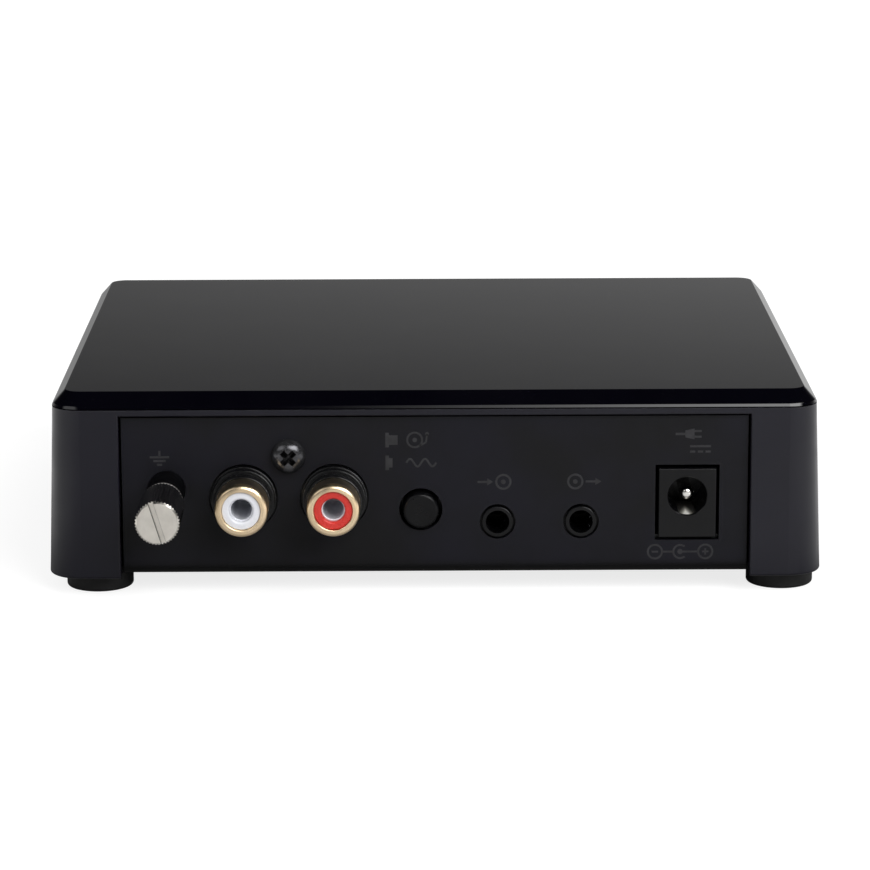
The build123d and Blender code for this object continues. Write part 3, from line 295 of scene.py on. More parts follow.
class Finish:
    """A material with one Principled shader. Colour, roughness and bumps are added in layers."""

    def __init__(self, name, colour, roughness, **sockets):
        self.material = bpy.data.materials.new(name)
        self.material.use_nodes = True
        self.tree = self.material.node_tree
        self.shader = self.tree.nodes["Principled BSDF"]
        self.shader.inputs["Base Color"].default_value = (*colour, 1.0)
        self.shader.inputs["Roughness"].default_value = roughness
        for label, value in sockets.items():
            self.shader.inputs[label.replace("_", " ")].default_value = value
        self.normal = None

    def effect(self, group, out, **inputs):
        """Output of a shared effect that is placed in this material."""
        made = self.tree.nodes.new("ShaderNodeGroup")
        made.node_tree = group
        for label, value in inputs.items():
            made.inputs[label].default_value = value
        return made.outputs[out]

    def current(self, label):
        """What feeds a socket of the shader now: an output, or the socket's own value."""
        socket = self.shader.inputs[label]
        if socket.is_linked:
            return socket.links[0].from_socket
        value = socket.default_value
        return value if isinstance(value, float) else tuple(value)

    def tint(self, mask, colour):
        """Lay a colour over the base colour where the mask is 1."""
        mixed = self.tree.nodes.new("ShaderNodeMix")
        mixed.data_type = "RGBA"
        below = self.current("Base Color")
        self.tree.links.new(mask, mixed.inputs[MIX_FACTOR])
        if isinstance(below, tuple):
            mixed.inputs[MIX_UNDER].default_value = below
        else:
            self.tree.links.new(below, mixed.inputs[MIX_UNDER])
        mixed.inputs[MIX_OVER].default_value = (*colour, 1.0)
        self.tree.links.new(mixed.outputs[MIX_RESULT], self.shader.inputs["Base Color"])

    def change(self, label, mask, amount):
        """Add amount to a number of the shader where the mask is 1."""
        changed = maths(
            self.tree, "MULTIPLY_ADD", mask, amount, self.current(label), clamp=True
        )
        self.tree.links.new(changed, self.shader.inputs[label])

    def emboss(self, height, depth):
        """Add a bump of a given depth in metres."""
        inputs = {"Height": height, "Distance": depth, "Strength": 1.0}
        if self.normal is not None:
            inputs["Normal"] = self.normal
        self.normal = put(self.tree, "ShaderNodeBump", inputs)
        self.tree.links.new(self.normal, self.shader.inputs["Normal"])

    def clouded(self, drift, colour):
        """Slow shift to another colour, in smaller clouds where drift is higher."""
        self.tint(self.effect(grain, "Tone", Drift=drift), colour)

    def grained(self, pitch, depth):
        """Fine bump."""
        self.emboss(self.effect(grain, "Height", Pitch=pitch), depth)

    def moulded(self, pitch, depth, tone, drift=260.0, rough=0.08):
        """Fine grain, a slow shift to the tone colour, and uneven gloss."""
        self.clouded(drift, tone)
        self.change("Roughness", self.effect(grain, "Tone", Drift=3 * drift), rough)
        self.grained(pitch, depth)

    def drawn(self, scale, depth, rough):
        """Lines drawn along Y, in the bump and in the gloss."""
        lines = self.effect(streaks, "Height", Scale=scale)
        self.emboss(lines, depth)
        self.change("Roughness", lines, rough)

    def worn(self, colour, reach=0.3 * MM, amount=0.6):
        """Brighter rubbed edges."""
        self.tint(self.effect(edge_wear_and_highlight, "Mask", Reach=reach, Amount=amount), colour)

    def grimy_and_shaded(self, colour, reach, amount=1.0):
        """Painted shade and dark dull dirt in corners and recesses."""
        mask = self.effect(grime_and_shade, "Mask", Reach=reach, Amount=amount)
        self.tint(mask, colour)
        self.change("Roughness", mask, GRIME_ROUGH)

    def place(self, axis, start):
        """Place along an axis, from a start."""
        here = along(self.tree, object_place(self.tree), axis)
        return maths(self.tree, "SUBTRACT", here, start)

    def ramp(self, axis, start, low, high):
        """0 up to low and 1 from high along an axis, both from a start."""
        return between(self.tree, self.place(axis, start), low, high)

    def apart(self, axis, centre):
        """Distance from a centre along an axis."""
        return maths(self.tree, "ABSOLUTE", self.place(axis, centre))

    def beyond(self, axis, reach, centre, blur=0.04 * MM):
        """1 where the distance from a centre along an axis is over a reach."""
        return between(self.tree, self.apart(axis, centre), reach, reach + blur)

    def bare_metal(self, mask, colour=(0.62, 0.61, 0.60), rough=-0.2):
        """Metal where the mask is 1, such as the legs of a part."""
        self.tint(mask, colour)
        self.change("Metallic", mask, 1.0)
        self.change("Roughness", mask, rough)

    def dusty(self, amount):
        """Dust on the faces that look up, which also dulls them."""
        mask = self.effect(dust, "Mask", Amount=amount)
        self.tint(mask, (0.34, 0.33, 0.32))
        self.change("Roughness", mask, 0.5)


def top_gloss():
    """Polished black acrylic: clear reflections, hairline streaks and a trace of dust."""
    made = Finish("top_gloss", (0.0005, 0.0004, 0.0016), 0.05, IOR=1.49)
    hairlines = made.effect(streaks, "Height", Squeeze=(1.0, 0.04, 1.0), Scale=900.0)
    made.change("Roughness", between(made.tree, hairlines, 0.62, 0.8), 0.08)
    made.clouded(30.0, (0.0012, 0.0011, 0.0024))
    made.grained(9.0 * MM, 0.0008 * MM)
    made.dusty(0.012)
    return made


def shell_satin():
    """Satin black moulding with a fine even grain."""
    made = Finish("shell_satin", (0.0036, 0.0034, 0.0064), 0.32, Specular_IOR_Level=0.32)
    made.moulded(0.22 * MM, 0.004 * MM, (0.0052, 0.0049, 0.0088), drift=40.0)
    made.worn((0.035, 0.035, 0.04), amount=0.5)
    made.dusty(0.06)
    return made


def panel_black():
    """Black powder coat over sheet steel: coarser grain, rubbed edges, and painted shade darker
    towards the bend.
    """
    made = Finish("panel_black", (0.0032, 0.0032, 0.0036), 0.46, Specular_IOR_Level=0.2)
    made.moulded(0.3 * MM, 0.010 * MM, (0.0050, 0.0049, 0.0078), drift=60.0)
    made.worn((0.022, 0.022, 0.024), amount=0.4)
    # painted shade, darker low down towards the bend
    made.tint(made.ramp("Z", 0.0, *PANEL_BEND_SHADE), (0.0006, 0.0006, 0.0007))
    return made


def foot_rubber():
    """Dull rubber, greyed where it has picked up dust."""
    made = Finish("foot_rubber", (0.0018, 0.0018, 0.0020), 0.5, Specular_IOR_Level=0.5)
    made.moulded(0.35 * MM, 0.02 * MM, (0.0036, 0.0036, 0.0038), drift=200.0)
    made.worn((0.03, 0.03, 0.029), reach=0.4 * MM)
    return made


def plate_adhesive():
    """Black foam tape seen at its edge."""
    made = Finish("adhesive", (0.002, 0.002, 0.002), 0.9, Specular_IOR_Level=0.1)
    made.moulded(0.08 * MM, 0.02 * MM, (0.006, 0.006, 0.006), drift=900.0)
    return made


def black_plastic(name, shine):
    """Semi-gloss black moulding of the sockets, with painted shade and dirt darkening their bores.
    """
    made = Finish(name, (0.0012, 0.0012, 0.0015), 0.18, Specular_IOR_Level=shine)
    made.moulded(0.18 * MM, 0.003 * MM, (0.0026, 0.0026, 0.0030), drift=180.0)
    made.worn((0.02, 0.02, 0.02), reach=0.15 * MM, amount=0.4)
    # painted shade and dirt, darkest deep in the bores
    made.grimy_and_shaded((0.0003, 0.0003, 0.0004), reach=1.6 * MM)
    return made


def bush_plastic():
    """Dull black nylon of the ground terminal's bush and inner washer."""
    made = Finish("bush_plastic", (0.0004, 0.0004, 0.0006), 0.42, Specular_IOR_Level=0.06)
    made.moulded(0.2 * MM, 0.003 * MM, (0.0012, 0.0012, 0.0015), drift=220.0)
    made.worn((0.010, 0.010, 0.011), reach=0.2 * MM, amount=0.5)
    return made


def button_plastic():
    """Button cap, its gloss uneven from use."""
    made = Finish("button_plastic", (0.0014, 0.0014, 0.0017), 0.26, Specular_IOR_Level=0.2)
    made.moulded(0.16 * MM, 0.004 * MM, (0.0028, 0.0028, 0.0032), drift=220.0, rough=0.12)
    made.worn((0.02, 0.02, 0.021), reach=0.25 * MM, amount=0.5)
    return made


def insulator_plastic(name, colour, cloud):
    """Glossy insulator of a phono socket, very slightly clouded."""
    made = Finish(name, colour, 0.22)
    made.moulded(0.3 * MM, 0.002 * MM, cloud, drift=300.0)
    return made


def gold_plate(side, centre):
    """Gold plate over turned brass: rings round the axis, painted shade and dirt in its corners,
    and painted shade on the sleeve and upper left above the axis.
    """
    made = Finish(f"gold_plate_{side}", (0.99, 0.79, 0.53), 0.24, Metallic=1.0)
    made.clouded(260.0, (0.96, 0.74, 0.47))
    rings = made.effect(turned_rings, "Height", Centre=tuple(centre), Pitch=0.06 * MM)
    made.emboss(rings, 0.001 * MM)
    made.change("Roughness", rings, 0.10)
    # painted shade and brown dirt in the corners
    made.grimy_and_shaded((0.10, 0.06, 0.03), reach=0.25 * MM, amount=0.3)
    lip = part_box(f"phono_socket_shell_{side}")[0].y
    # painted shade: the sleeve and the upper left darker, towards the top
    sleeve = made.ramp("Y", lip, *SHADE_BEHIND_LIP)
    left = made.ramp("X", centre.x, *SHADE_LEFT)
    upper_shade = made.ramp("Z", centre.z, *SHADE_UP)
    upper_shade = maths(made.tree, "MULTIPLY", upper_shade, maths(made.tree, "MAXIMUM", sleeve, left))
    made.tint(upper_shade, (0.46, 0.37, 0.25))
    return made


def thumb_screw_nickel():
    """Nickel plate: lathe rings on the end face, dirt and painted shade in its recesses, painted
    shade over the knurl and painted highlights on its ridges.
    """
    made = Finish("thumb_screw_nickel", (0.90, 0.86, 0.79), 0.16, Metallic=1.0)
    made.clouded(420.0, (0.80, 0.76, 0.69))
    normal = put(made.tree, "ShaderNodeNewGeometry", out="Normal")
    face = between(made.tree, along(made.tree, normal, "Y"), *SCREW_END)
    rings = made.effect(turned_rings, "Height", Centre=tuple(ground), Pitch=0.09 * MM)
    made.change("Roughness", face, 0.22)
    made.emboss(maths(made.tree, "MULTIPLY", rings, face), 0.004 * MM)
    # dirt and painted shade in the end face's recesses
    dirt = made.effect(grime_and_shade, "Mask", Reach=0.3 * MM, Amount=0.95)
    dirt = maths(made.tree, "MULTIPLY", dirt, face)
    made.tint(dirt, (0.050, 0.045, 0.040))
    made.change("Roughness", dirt, GRIME_ROUGH)
    # painted shade: the knurled side much darker than the nickel
    side = maths(made.tree, "SUBTRACT", 1.0, face)
    made.tint(side, (0.24, 0.23, 0.21))
    # painted highlights on the knurl's ridges
    crest_highlights = made.effect(edge_wear_and_highlight, "Mask", Reach=0.12 * MM, Amount=1.0)
    made.tint(maths(made.tree, "MULTIPLY", crest_highlights, side), (0.88, 0.85, 0.78))
    return made


def plain_nickel(name, colour, tone, roughness, **sockets):
    """Nickel with faint drawn lines, as on the power socket's pin."""
    made = Finish(name, colour, roughness, **sockets)
    made.clouded(420.0, tone)
    made.drawn(5000.0, 0.002 * MM, 0.1)
    return made


def power_spring_nickel():
    """Spring darkened by painted shade in the bore, with a painted highlight along its middle that
    is wider at the mouth.
    """
    # dark nickel as painted shade down in the bore
    made = plain_nickel(
        "power_spring_nickel", (0.045, 0.044, 0.040), (0.030, 0.029, 0.027), 0.34, Metallic=0.4
    )
    off = made.apart("X", power_axis.x - SPRING_HIGHLIGHT_LEFT)
    inward = made.place("Y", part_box("power_socket_spring")[0].y)
    spread = maths(made.tree, "MULTIPLY_ADD", inward, SPRING_HIGHLIGHT_TAPER, off)
    # painted highlight, dim and wide, then bright and narrow
    made.tint(between(made.tree, spread, *SPRING_HIGHLIGHT_WIDE), (0.30, 0.29, 0.25))
    made.tint(between(made.tree, spread, *SPRING_HIGHLIGHT_CORE), (0.93, 0.92, 0.86))
    return made


def black_screw():
    """Black oxide on a screw, rubbed bare at the edges, with painted shade and dirt in the recess.
    """
    made = Finish("black_screw", (0.062, 0.062, 0.066), 0.24, Metallic=0.85)
    made.clouded(500.0, (0.092, 0.092, 0.098))
    made.grained(0.25 * MM, 0.006 * MM)
    made.worn((0.28, 0.27, 0.26), reach=0.12 * MM, amount=0.5)
    # painted shade and dirt in the recess
    made.grimy_and_shaded((0.002, 0.002, 0.002), reach=1.2 * MM)
    return made


def phono_contact():
    """Bright tin in the phono sockets' bores, dull enough to scatter the light that falls in."""
    made = Finish("phono_contact", (0.80, 0.81, 0.85), 0.34, Metallic=0.45)
    made.clouded(500.0, (0.68, 0.69, 0.74))
    made.drawn(4000.0, 0.002 * MM, 0.12)
    return made


def jack_contact():
    """Dark nickel collar and spring down in a jack's bore, with painted shade and dirt deeper in.
    """
    made = Finish("jack_contact", (0.045, 0.044, 0.042), 0.42, Metallic=1.0)
    made.clouded(500.0, (0.030, 0.029, 0.028))
    # painted shade and dirt down the bore
    made.grimy_and_shaded((0.003, 0.003, 0.003), reach=2.0 * MM)
    return made


def tin_contact():
    """Tin-plated contact strip."""
    made = Finish("tin_contact", (0.62, 0.61, 0.60), 0.26, Metallic=1.0)
    made.clouded(500.0, (0.50, 0.49, 0.48))
    made.drawn(4000.0, 0.003 * MM, 0.15)
    return made


def zinc_steel():
    """Bright zinc on steel, with its faint blue cloud."""
    made = Finish("zinc_steel", (0.56, 0.57, 0.60), 0.28, Metallic=1.0)
    made.clouded(350.0, (0.46, 0.48, 0.55))
    made.grained(0.12 * MM, 0.004 * MM)
    return made


def brass_part():
    """Turned brass."""
    made = Finish("brass_part", (0.70, 0.52, 0.24), 0.28, Metallic=1.0)
    made.clouded(350.0, (0.58, 0.41, 0.17))
    rings = made.effect(turned_rings, "Height", Centre=tuple(ground), Pitch=0.08 * MM)
    made.emboss(rings, 0.004 * MM)
    return made


def board_laminate():
    """Black solder mask over copper traces: the joints of two brick grids on the 2.54 mm pitch."""
    made = Finish("board_laminate", (0.0045, 0.0060, 0.0055), 0.3)
    made.moulded(0.5 * MM, 0.003 * MM, (0.0060, 0.0080, 0.0072), drift=300.0)
    for turn, pitches in ((0.0, 4.0), (math.pi / 2, 7.0)):
        turned = {"Vector": object_place(made.tree), "Rotation": (0, 0, turn)}
        bricks = {
            "Vector": put(made.tree, "ShaderNodeMapping", turned),
            "Scale": 1.0,
            "Mortar Size": 0.28 * MM,
            "Brick Width": pitches * BOARD_PITCH,
            "Row Height": BOARD_PITCH,
        }
        joints = put(made.tree, "ShaderNodeTexBrick", bricks, out="Fac")
        made.tint(joints, (0.022, 0.030, 0.026))
        made.emboss(joints, 0.035 * MM)
    return made


def film_box():
    """Red lacquer over a film capacitor, rubbed at its edges."""
    made = Finish("film_box", (0.42, 0.05, 0.02), 0.3)
    made.moulded(0.2 * MM, 0.003 * MM, (0.34, 0.036, 0.015))
    made.worn((0.692, 0.100, 0.052), amount=0.5)
    return made


def can_sleeve(name):
    """Dark shrink sleeve with a pale stripe for the minus leg, and a bare scored top."""
    centre = middle(name)
    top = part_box(name)[1].z
    made = Finish(f"sleeve_{name}", (0.012, 0.016, 0.040), 0.28)
    made.moulded(0.2 * MM, 0.003 * MM, (0.018, 0.024, 0.052))
    made.tint(made.ramp("X", centre.x, *CAN_STRIPE), (0.42, 0.44, 0.48))
    from_centre = vector_maths(made.tree, "SUBTRACT", object_place(made.tree), tuple(centre))
    flat = vector_maths(made.tree, "MULTIPLY", from_centre, (1.0, 1.0, 0.0))
    radius = vector_maths(made.tree, "LENGTH", flat, out="Value")
    lid = between(made.tree, radius, *CAN_LID)
    lid = maths(made.tree, "MULTIPLY", lid, made.ramp("Z", top, *CAN_TOP))
    made.bare_metal(lid, (0.58, 0.58, 0.59), rough=0.05)
    for axis, at in (("X", centre.x), ("Y", centre.y)):
        off = made.beyond(axis, CAN_SCORE, at, blur=0.06 * MM)
        score = maths(made.tree, "SUBTRACT", 1.0, off)
        made.tint(maths(made.tree, "MULTIPLY", score, lid), (0.10, 0.10, 0.10))
    return made


def chip_epoxy(name):
    """Dull moulding compound with tinned legs along both sides."""
    made = Finish(f"epoxy_{name}", (0.018, 0.018, 0.019), 0.6)
    made.moulded(0.12 * MM, 0.003 * MM, (0.026, 0.026, 0.027))
    made.bare_metal(made.beyond("Y", CHIP_HALF_WIDTH, middle(name).y))
    return made


def regulator_epoxy():
    """Moulding compound with a bare tab behind and above it, and tinned legs below."""
    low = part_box("voltage_regulator")[0]
    made = Finish("epoxy_voltage_regulator", (0.018, 0.018, 0.019), 0.55)
    made.moulded(0.12 * MM, 0.003 * MM, (0.026, 0.026, 0.027))
    made.bare_metal(made.beyond("Z", REGULATOR_HALF_HEIGHT, low.z + REGULATOR_MIDDLE))
    made.bare_metal(made.beyond("Y", REGULATOR_DEPTH, low.y))
    return made


def resistor_lacquer():
    """Pale blue lacquer with colour bands, repeated on both rows, and tinned leads."""
    low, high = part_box("resistors")
    made = Finish("resistor_lacquer", (0.10, 0.28, 0.42), 0.3)
    made.moulded(0.2 * MM, 0.003 * MM, (0.08, 0.22, 0.35))
    row_apart = high.y - low.y - 2 * RESISTOR_END
    off = made.place("Y", low.y + RESISTOR_END - row_apart / 2)
    off = maths(made.tree, "SUBTRACT", maths(made.tree, "MODULO", off, row_apart), row_apart / 2)
    for place, colour in RESISTOR_BANDS:
        distance = maths(made.tree, "ABSOLUTE", maths(made.tree, "SUBTRACT", off, place))
        made.tint(between(made.tree, distance, *BAND_EDGE), colour)
    ends = maths(made.tree, "ABSOLUTE", off)
    made.bare_metal(between(made.tree, ends, *RESISTOR_BODY))
    return made


def wire_sleeve():
    """Green sleeve of an earth wire, yellow on one side."""
    made = Finish("wire_sleeve", (0.03, 0.22, 0.05), 0.42)
    made.tint(made.ramp("X", ground.x, *WIRE_STRIPE), (0.72, 0.58, 0.03))
    made.grained(0.15 * MM, 0.003 * MM)
    return made


def clear_lens():
    """Clear moulded acrylic of the lamp and its light guide."""
    made = Finish("clear_lens", (0.90, 0.93, 0.96), 0.08, Transmission_Weight=0.9, IOR=1.49)
    made.change("Roughness", made.effect(grain, "Tone", Drift=400.0), 0.06)
    made.grained(0.5 * MM, 0.002 * MM)
    return made


def printing_ink():
    """Thin dark grey print that shows only a little against the panel."""
    made = Finish("printing_ink", (0.024, 0.024, 0.026), 0.55, Specular_IOR_Level=0.3)
    made.clouded(900.0, (0.016, 0.016, 0.017))
    made.grained(0.3 * MM, 0.012 * MM)
    return made


def dress(finish, *names):
    """Put a finish into the material slots of CAD nodes."""
    for name in names:
        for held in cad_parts[name].material_slots:
            held.material = finish.material


def dress_all():
    """Give every CAD node its finish."""
    dress(top_gloss(), "top_plate")
    dress(shell_satin(), "shell")
    dress(panel_black(), "chassis")
    feet = [f"foot_{end}_{side}" for end in ("rear", "front") for side in ("left", "right")]
    dress(foot_rubber(), *feet)
    dress(plate_adhesive(), "plate_adhesive")
    glossy = black_plastic("black_plastic", 0.38)
    dress(glossy, "phono_socket_housing", "switch_plunger", "switch_body")
    dull = black_plastic("jack_plastic", 0.22)
    dress(dull, "line_in_jack_body", "line_out_jack_body", "power_socket_housing")
    dress(bush_plastic(), "ground_bush", "ground_insulating_washer")
    dress(button_plastic(), "button_cap")
    white = insulator_plastic("white_plastic", (0.71, 0.72, 0.76), (0.65, 0.66, 0.70))
    dress(white, "phono_socket_insulator_left")
    red = insulator_plastic("red_plastic", (0.55, 0.032, 0.024), (0.48, 0.027, 0.020))
    dress(red, "phono_socket_insulator_right")
    dress(gold_plate("left", phono_left), "phono_socket_shell_left")
    dress(gold_plate("right", phono_right), "phono_socket_shell_right")
    dress(thumb_screw_nickel(), "ground_thumb_screw")
    bright, cloud = (0.82, 0.80, 0.77), (0.70, 0.68, 0.65)
    pin = plain_nickel("power_pin_nickel", bright, cloud, 0.14, Metallic=1.0)
    dress(pin, "power_socket_pin")
    dress(power_spring_nickel(), "power_socket_spring")
    washer = plain_nickel("washer_nickel", bright, cloud, 0.35, Metallic=0.7)
    dress(washer, "ground_captive_washer")
    dress(black_screw(), "case_screws", "phono_socket_screw")
    dress(phono_contact(), "phono_socket_contact_left", "phono_socket_contact_right")
    ways, parts = ("in", "out"), ("sleeve", "tip")
    contacts = [f"line_{way}_{part}_contact" for way in ways for part in parts]
    dress(jack_contact(), *contacts)
    dress(tin_contact(), "ground_solder_tag")
    dress(zinc_steel(), "board_standoffs", "board_screws", "switch_spring")
    dress(brass_part(), "ground_threaded_insert", "ground_nut")
    dress(board_laminate(), "circuit_board")
    dress(wire_sleeve(), "ground_wire")
    dress(clear_lens(), "light_guide", "status_lamp")
    for number in range(1, 5):
        can = f"electrolytic_capacitor_{number}"
        dress(can_sleeve(can), can)
    dress(film_box(), *(f"film_capacitor_{number}" for number in range(1, 5)))
    for name in ("op_amp_left", "op_amp_right"):
        dress(chip_epoxy(name), name)
    dress(regulator_epoxy(), "voltage_regulator")
    dress(resistor_lacquer(), "resistors")


# ------ mesh helpers


def quads(rows, columns, closed=False):
    """Faces of a tube of points: each row runs round it, and a closed tube's last row joins up."""
    row = np.arange(rows if closed else rows - 1)[:, None]
    column = np.arange(columns)[None, :]
    row, column = np.broadcast_arrays(row, column)
    next_row = (row + 1) % rows
    next_column = (column + 1) % columns
    corners = [
        row * columns + column,
        row * columns + next_column,
        next_row * columns + next_column,
        next_row * columns + column,
    ]
    return np.stack([corner.ravel() for corner in corners], axis=1)


def add_piece(name, points, faces, material, body):
    """Make a mesh from points and faces, and let it ride on a body."""
    mesh = bpy.data.meshes.new(name)
    mesh.from_pydata(points.tolist(), [], [list(face) for face in faces])
    mesh.validate()
    mesh.polygons.foreach_set("use_smooth", [True] * len(mesh.polygons))
    mesh.set_sharp_from_angle(angle=SMOOTH_BELOW)
    mesh.materials.append(material)
    piece = bpy.data.objects.new(name, mesh)
    bpy.context.scene.collection.objects.link(piece)
    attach(piece, body)


# ------ printed marks


def ink_line(path, widths, closed=False):
    """Flat line of ink along a path on the panel, as points and faces.

    With n(t) the path's normal in the panel, the section at t has the four corners
    path(t) -+ widths(t) / 2 * n(t), at the ink's sunk and proud depths. Path points are
    (x, z) pairs. A closed path joins round; an open one gets a face at each end.
    """
    path = np.asarray(path, float)
    widths = np.broadcast_to(np.asarray(widths, float), len(path))
    if closed:
        ahead = np.roll(path, -1, axis=0) - np.roll(path, 1, axis=0)
    else:
        ahead = np.gradient(path, axis=0)
    ahead /= np.linalg.norm(ahead, axis=1, keepdims=True)
    side = np.stack([-ahead[:, 1], ahead[:, 0]], axis=1) * widths[:, None] / 2
    left, right = path + side, path - side
    front = np.full(len(path), panel_y - INK_PROUD)
    back = np.full(len(path), panel_y + INK_SUNK)
    corners = [
        np.stack([edge[:, 0], depth, edge[:, 1]], axis=1)
        for edge, depth in ((left, back), (left, front), (right, front), (right, back))
    ]
    points = np.stack(corners, axis=1).reshape(-1, 3)
    faces = quads(len(path), 4, closed).tolist()
    if not closed:
        last = 4 * (len(path) - 1)
        faces += [[3, 2, 1, 0], [last, last + 1, last + 2, last + 3]]
    return points, faces


def segment(start, end, width):
    """Straight line of ink between two places."""
    return ink_line([start, end], width)


def ring(centre, radius, width, start=0.0, turn=360.0):
    """Circle or arc of ink: centre + radius * (cos a, sin a), a from start through turn degrees."""
    closed = turn >= 360
    angles = np.radians(start + turn * np.linspace(0, 1, RING_POINTS))
    if closed:
        angles = angles[:-1]
    path = np.asarray(centre) + radius * np.stack([np.cos(angles), np.sin(angles)], axis=1)
    return ink_line(path, width, closed)


def disc(centre, radius):
    """Filled circle of ink: a line 2 sqrt(radius^2 - d^2) wide at distance d from its middle."""
    angles = np.linspace(DISC_CUT, math.pi - DISC_CUT, DISC_POINTS)
    path = np.asarray(centre) + np.stack([-radius * np.cos(angles), 0 * angles], axis=1)
    return ink_line(path, 2 * radius * np.sin(angles))


def arrow_head(base, tip, width):
    """Filled triangle of ink: a line whose width shrinks from the base to the tip."""
    return ink_line([base, tip], [width, ARROW_TIP * width])


def add_mark(name, lines):
    """Join lines of ink to one piece on the case."""
    starts = np.cumsum([0] + [len(points) for points, _ in lines])
    points = np.concatenate([points for points, _ in lines])
    faces = [
        [corner + start for corner in face]
        for (_, line_faces), start in zip(lines, starts)
        for face in line_faces
    ]
    add_piece(name, points, faces, ink, "case")


def earth_mark():
    """Earth symbol over the ground terminal: a stem and three bars that get shorter."""
    x, z = ground.x - 1.0 * MM, ground.z + 6.1 * MM
    line, stem, bar_pitch = 0.34 * MM, 1.0 * MM, 0.6 * MM
    lines = [segment((x, z), (x, z - stem), line)]
    for step, half in enumerate((1.5 * MM, 0.95 * MM, 0.4 * MM)):
        height = z - stem - step * bar_pitch
        lines.append(segment((x - half, height), (x + half, height), line))
    add_mark("mark_earth", lines)


def button_mark(name, height, cap_length):
    """Side view of the push button: a panel line with the cap standing out of it."""
    x, z = button.x - 5.15 * MM, button.z + height
    half, cap_start = 1.15 * MM, x + 0.27 * MM
    lines = [
        ink_line([(x, z - half), (x, z + half)], 0.55 * MM),
        ink_line([(cap_start, z), (cap_start + cap_length, z)], 1.5 * MM),
    ]
    add_mark(name, lines)


def record_mark():
    """Record and arm, for the phono setting."""
    x, z = button.x - 0.9 * MM, button.z + UPPER_MARKS
    pivot = (x + 1.9 * MM, z + 0.95 * MM)
    elbow = (x + 1.75 * MM, z - 0.35 * MM)
    tip = (x + 0.75 * MM, z - 0.95 * MM)
    arm = 0.28 * MM
    lines = [
        ring((x, z), 1.15 * MM, 0.3 * MM),
        disc((x, z), 0.36 * MM),
        segment(pivot, elbow, arm),
        segment(elbow, tip, arm),
        disc(pivot, 0.3 * MM),
    ]
    add_mark("mark_record", lines)


def wave_mark():
    """Two periods of a sine, for the line setting: rise = height * sin(2 pi run / period)."""
    x, z = button.x - 2.2 * MM, button.z + LOWER_MARKS
    height, period = 0.6 * MM, 2.3 * MM
    run = np.linspace(0.0, 2 * period, WAVE_POINTS)
    rise = height * np.sin(2 * math.pi * run / period)
    path = np.stack([x + run, z + rise], axis=1)
    add_mark("mark_wave", [ink_line(path, 0.3 * MM)])


def jack_mark(name, jack, outward):
    """Arrow into or out of a ring with a dot, over a jack socket."""
    side = 1 if outward else -1
    x, z = jack.x - side * 0.9 * MM, jack.z + 6.3 * MM
    line, head = 0.32 * MM, 0.9 * MM
    near = x + side * 1.6 * MM
    far = x + side * 4.0 * MM
    start, end = (near, far) if outward else (far, near)
    neck = end - head * math.copysign(1.0, end - start)
    lines = [
        ring((x, z), 1.1 * MM, line),
        disc((x, z), 0.36 * MM),
        segment((start, z), (neck, z), line),
        arrow_head((neck, z), (end, z), 1.1 * MM),
    ]
    add_mark(name, lines)


def plug_mark():
    """Plug with two pins and its lead, over the power socket."""
    x, z = power_axis.x - 1.9 * MM, power_axis.z + 9.7 * MM
    body, pins, tips = x + 1.5 * MM, x + 2.9 * MM, x + 4.0 * MM
    lines = [
        segment((x, z), (body, z), 0.36 * MM),
        ink_line([(body, z), (pins, z)], [1.1 * MM, 1.7 * MM]),
    ]
    for height in (z - 0.45 * MM, z + 0.45 * MM):
        lines.append(segment((pins, height), (tips, height), 0.32 * MM))
    add_mark("mark_plug", lines)


def direct_current_mark():
    """Direct current: a line over three dashes."""
    x, z = power_axis.x + 0.35 * MM, power_axis.z + 7.75 * MM
    line, dash, pitch = 0.32 * MM, 0.8 * MM, 1.2 * MM
    lines = [segment((x, z), (x + 2 * pitch + dash, z), line)]
    for step in range(3):
        start, height = x + step * pitch, z - 0.85 * MM
        lines.append(segment((start, height), (start + dash, height), line))
    add_mark("mark_direct_current", lines)


def polarity_mark():
    """Polarity of the plug: ringed minus, open arc round a dot, ringed plus, joined by lines."""
    x, z = power_axis.x - 1.0 * MM, power_axis.z - 9.0 * MM
    minus, plus = x - 3.9 * MM, x + 3.9 * MM
    line, bar = 0.30 * MM, 0.28 * MM  # widths
    radius, arc, half = 1.10 * MM, 1.05 * MM, 0.50 * MM  # of the rings, the arc and the bars
    lines = [
        ring((minus, z), radius, line),
        segment((minus - half, z), (minus + half, z), bar),
        segment((minus + radius, z), (x - arc, z), line),
        ring((x, z), arc, line, start=50.0, turn=260.0),
        disc((x, z), 0.42 * MM),
        segment((x + 0.4 * MM, z), (plus - radius, z), line),
        ring((plus, z), radius, line),
        segment((plus - half, z), (plus + half, z), bar),
        segment((plus, z + bar / 2), (plus, z + half), bar),
        segment((plus, z - half), (plus, z - bar / 2), bar),
    ]
    add_mark("mark_polarity", lines)


# ------ thread of the thumb screw


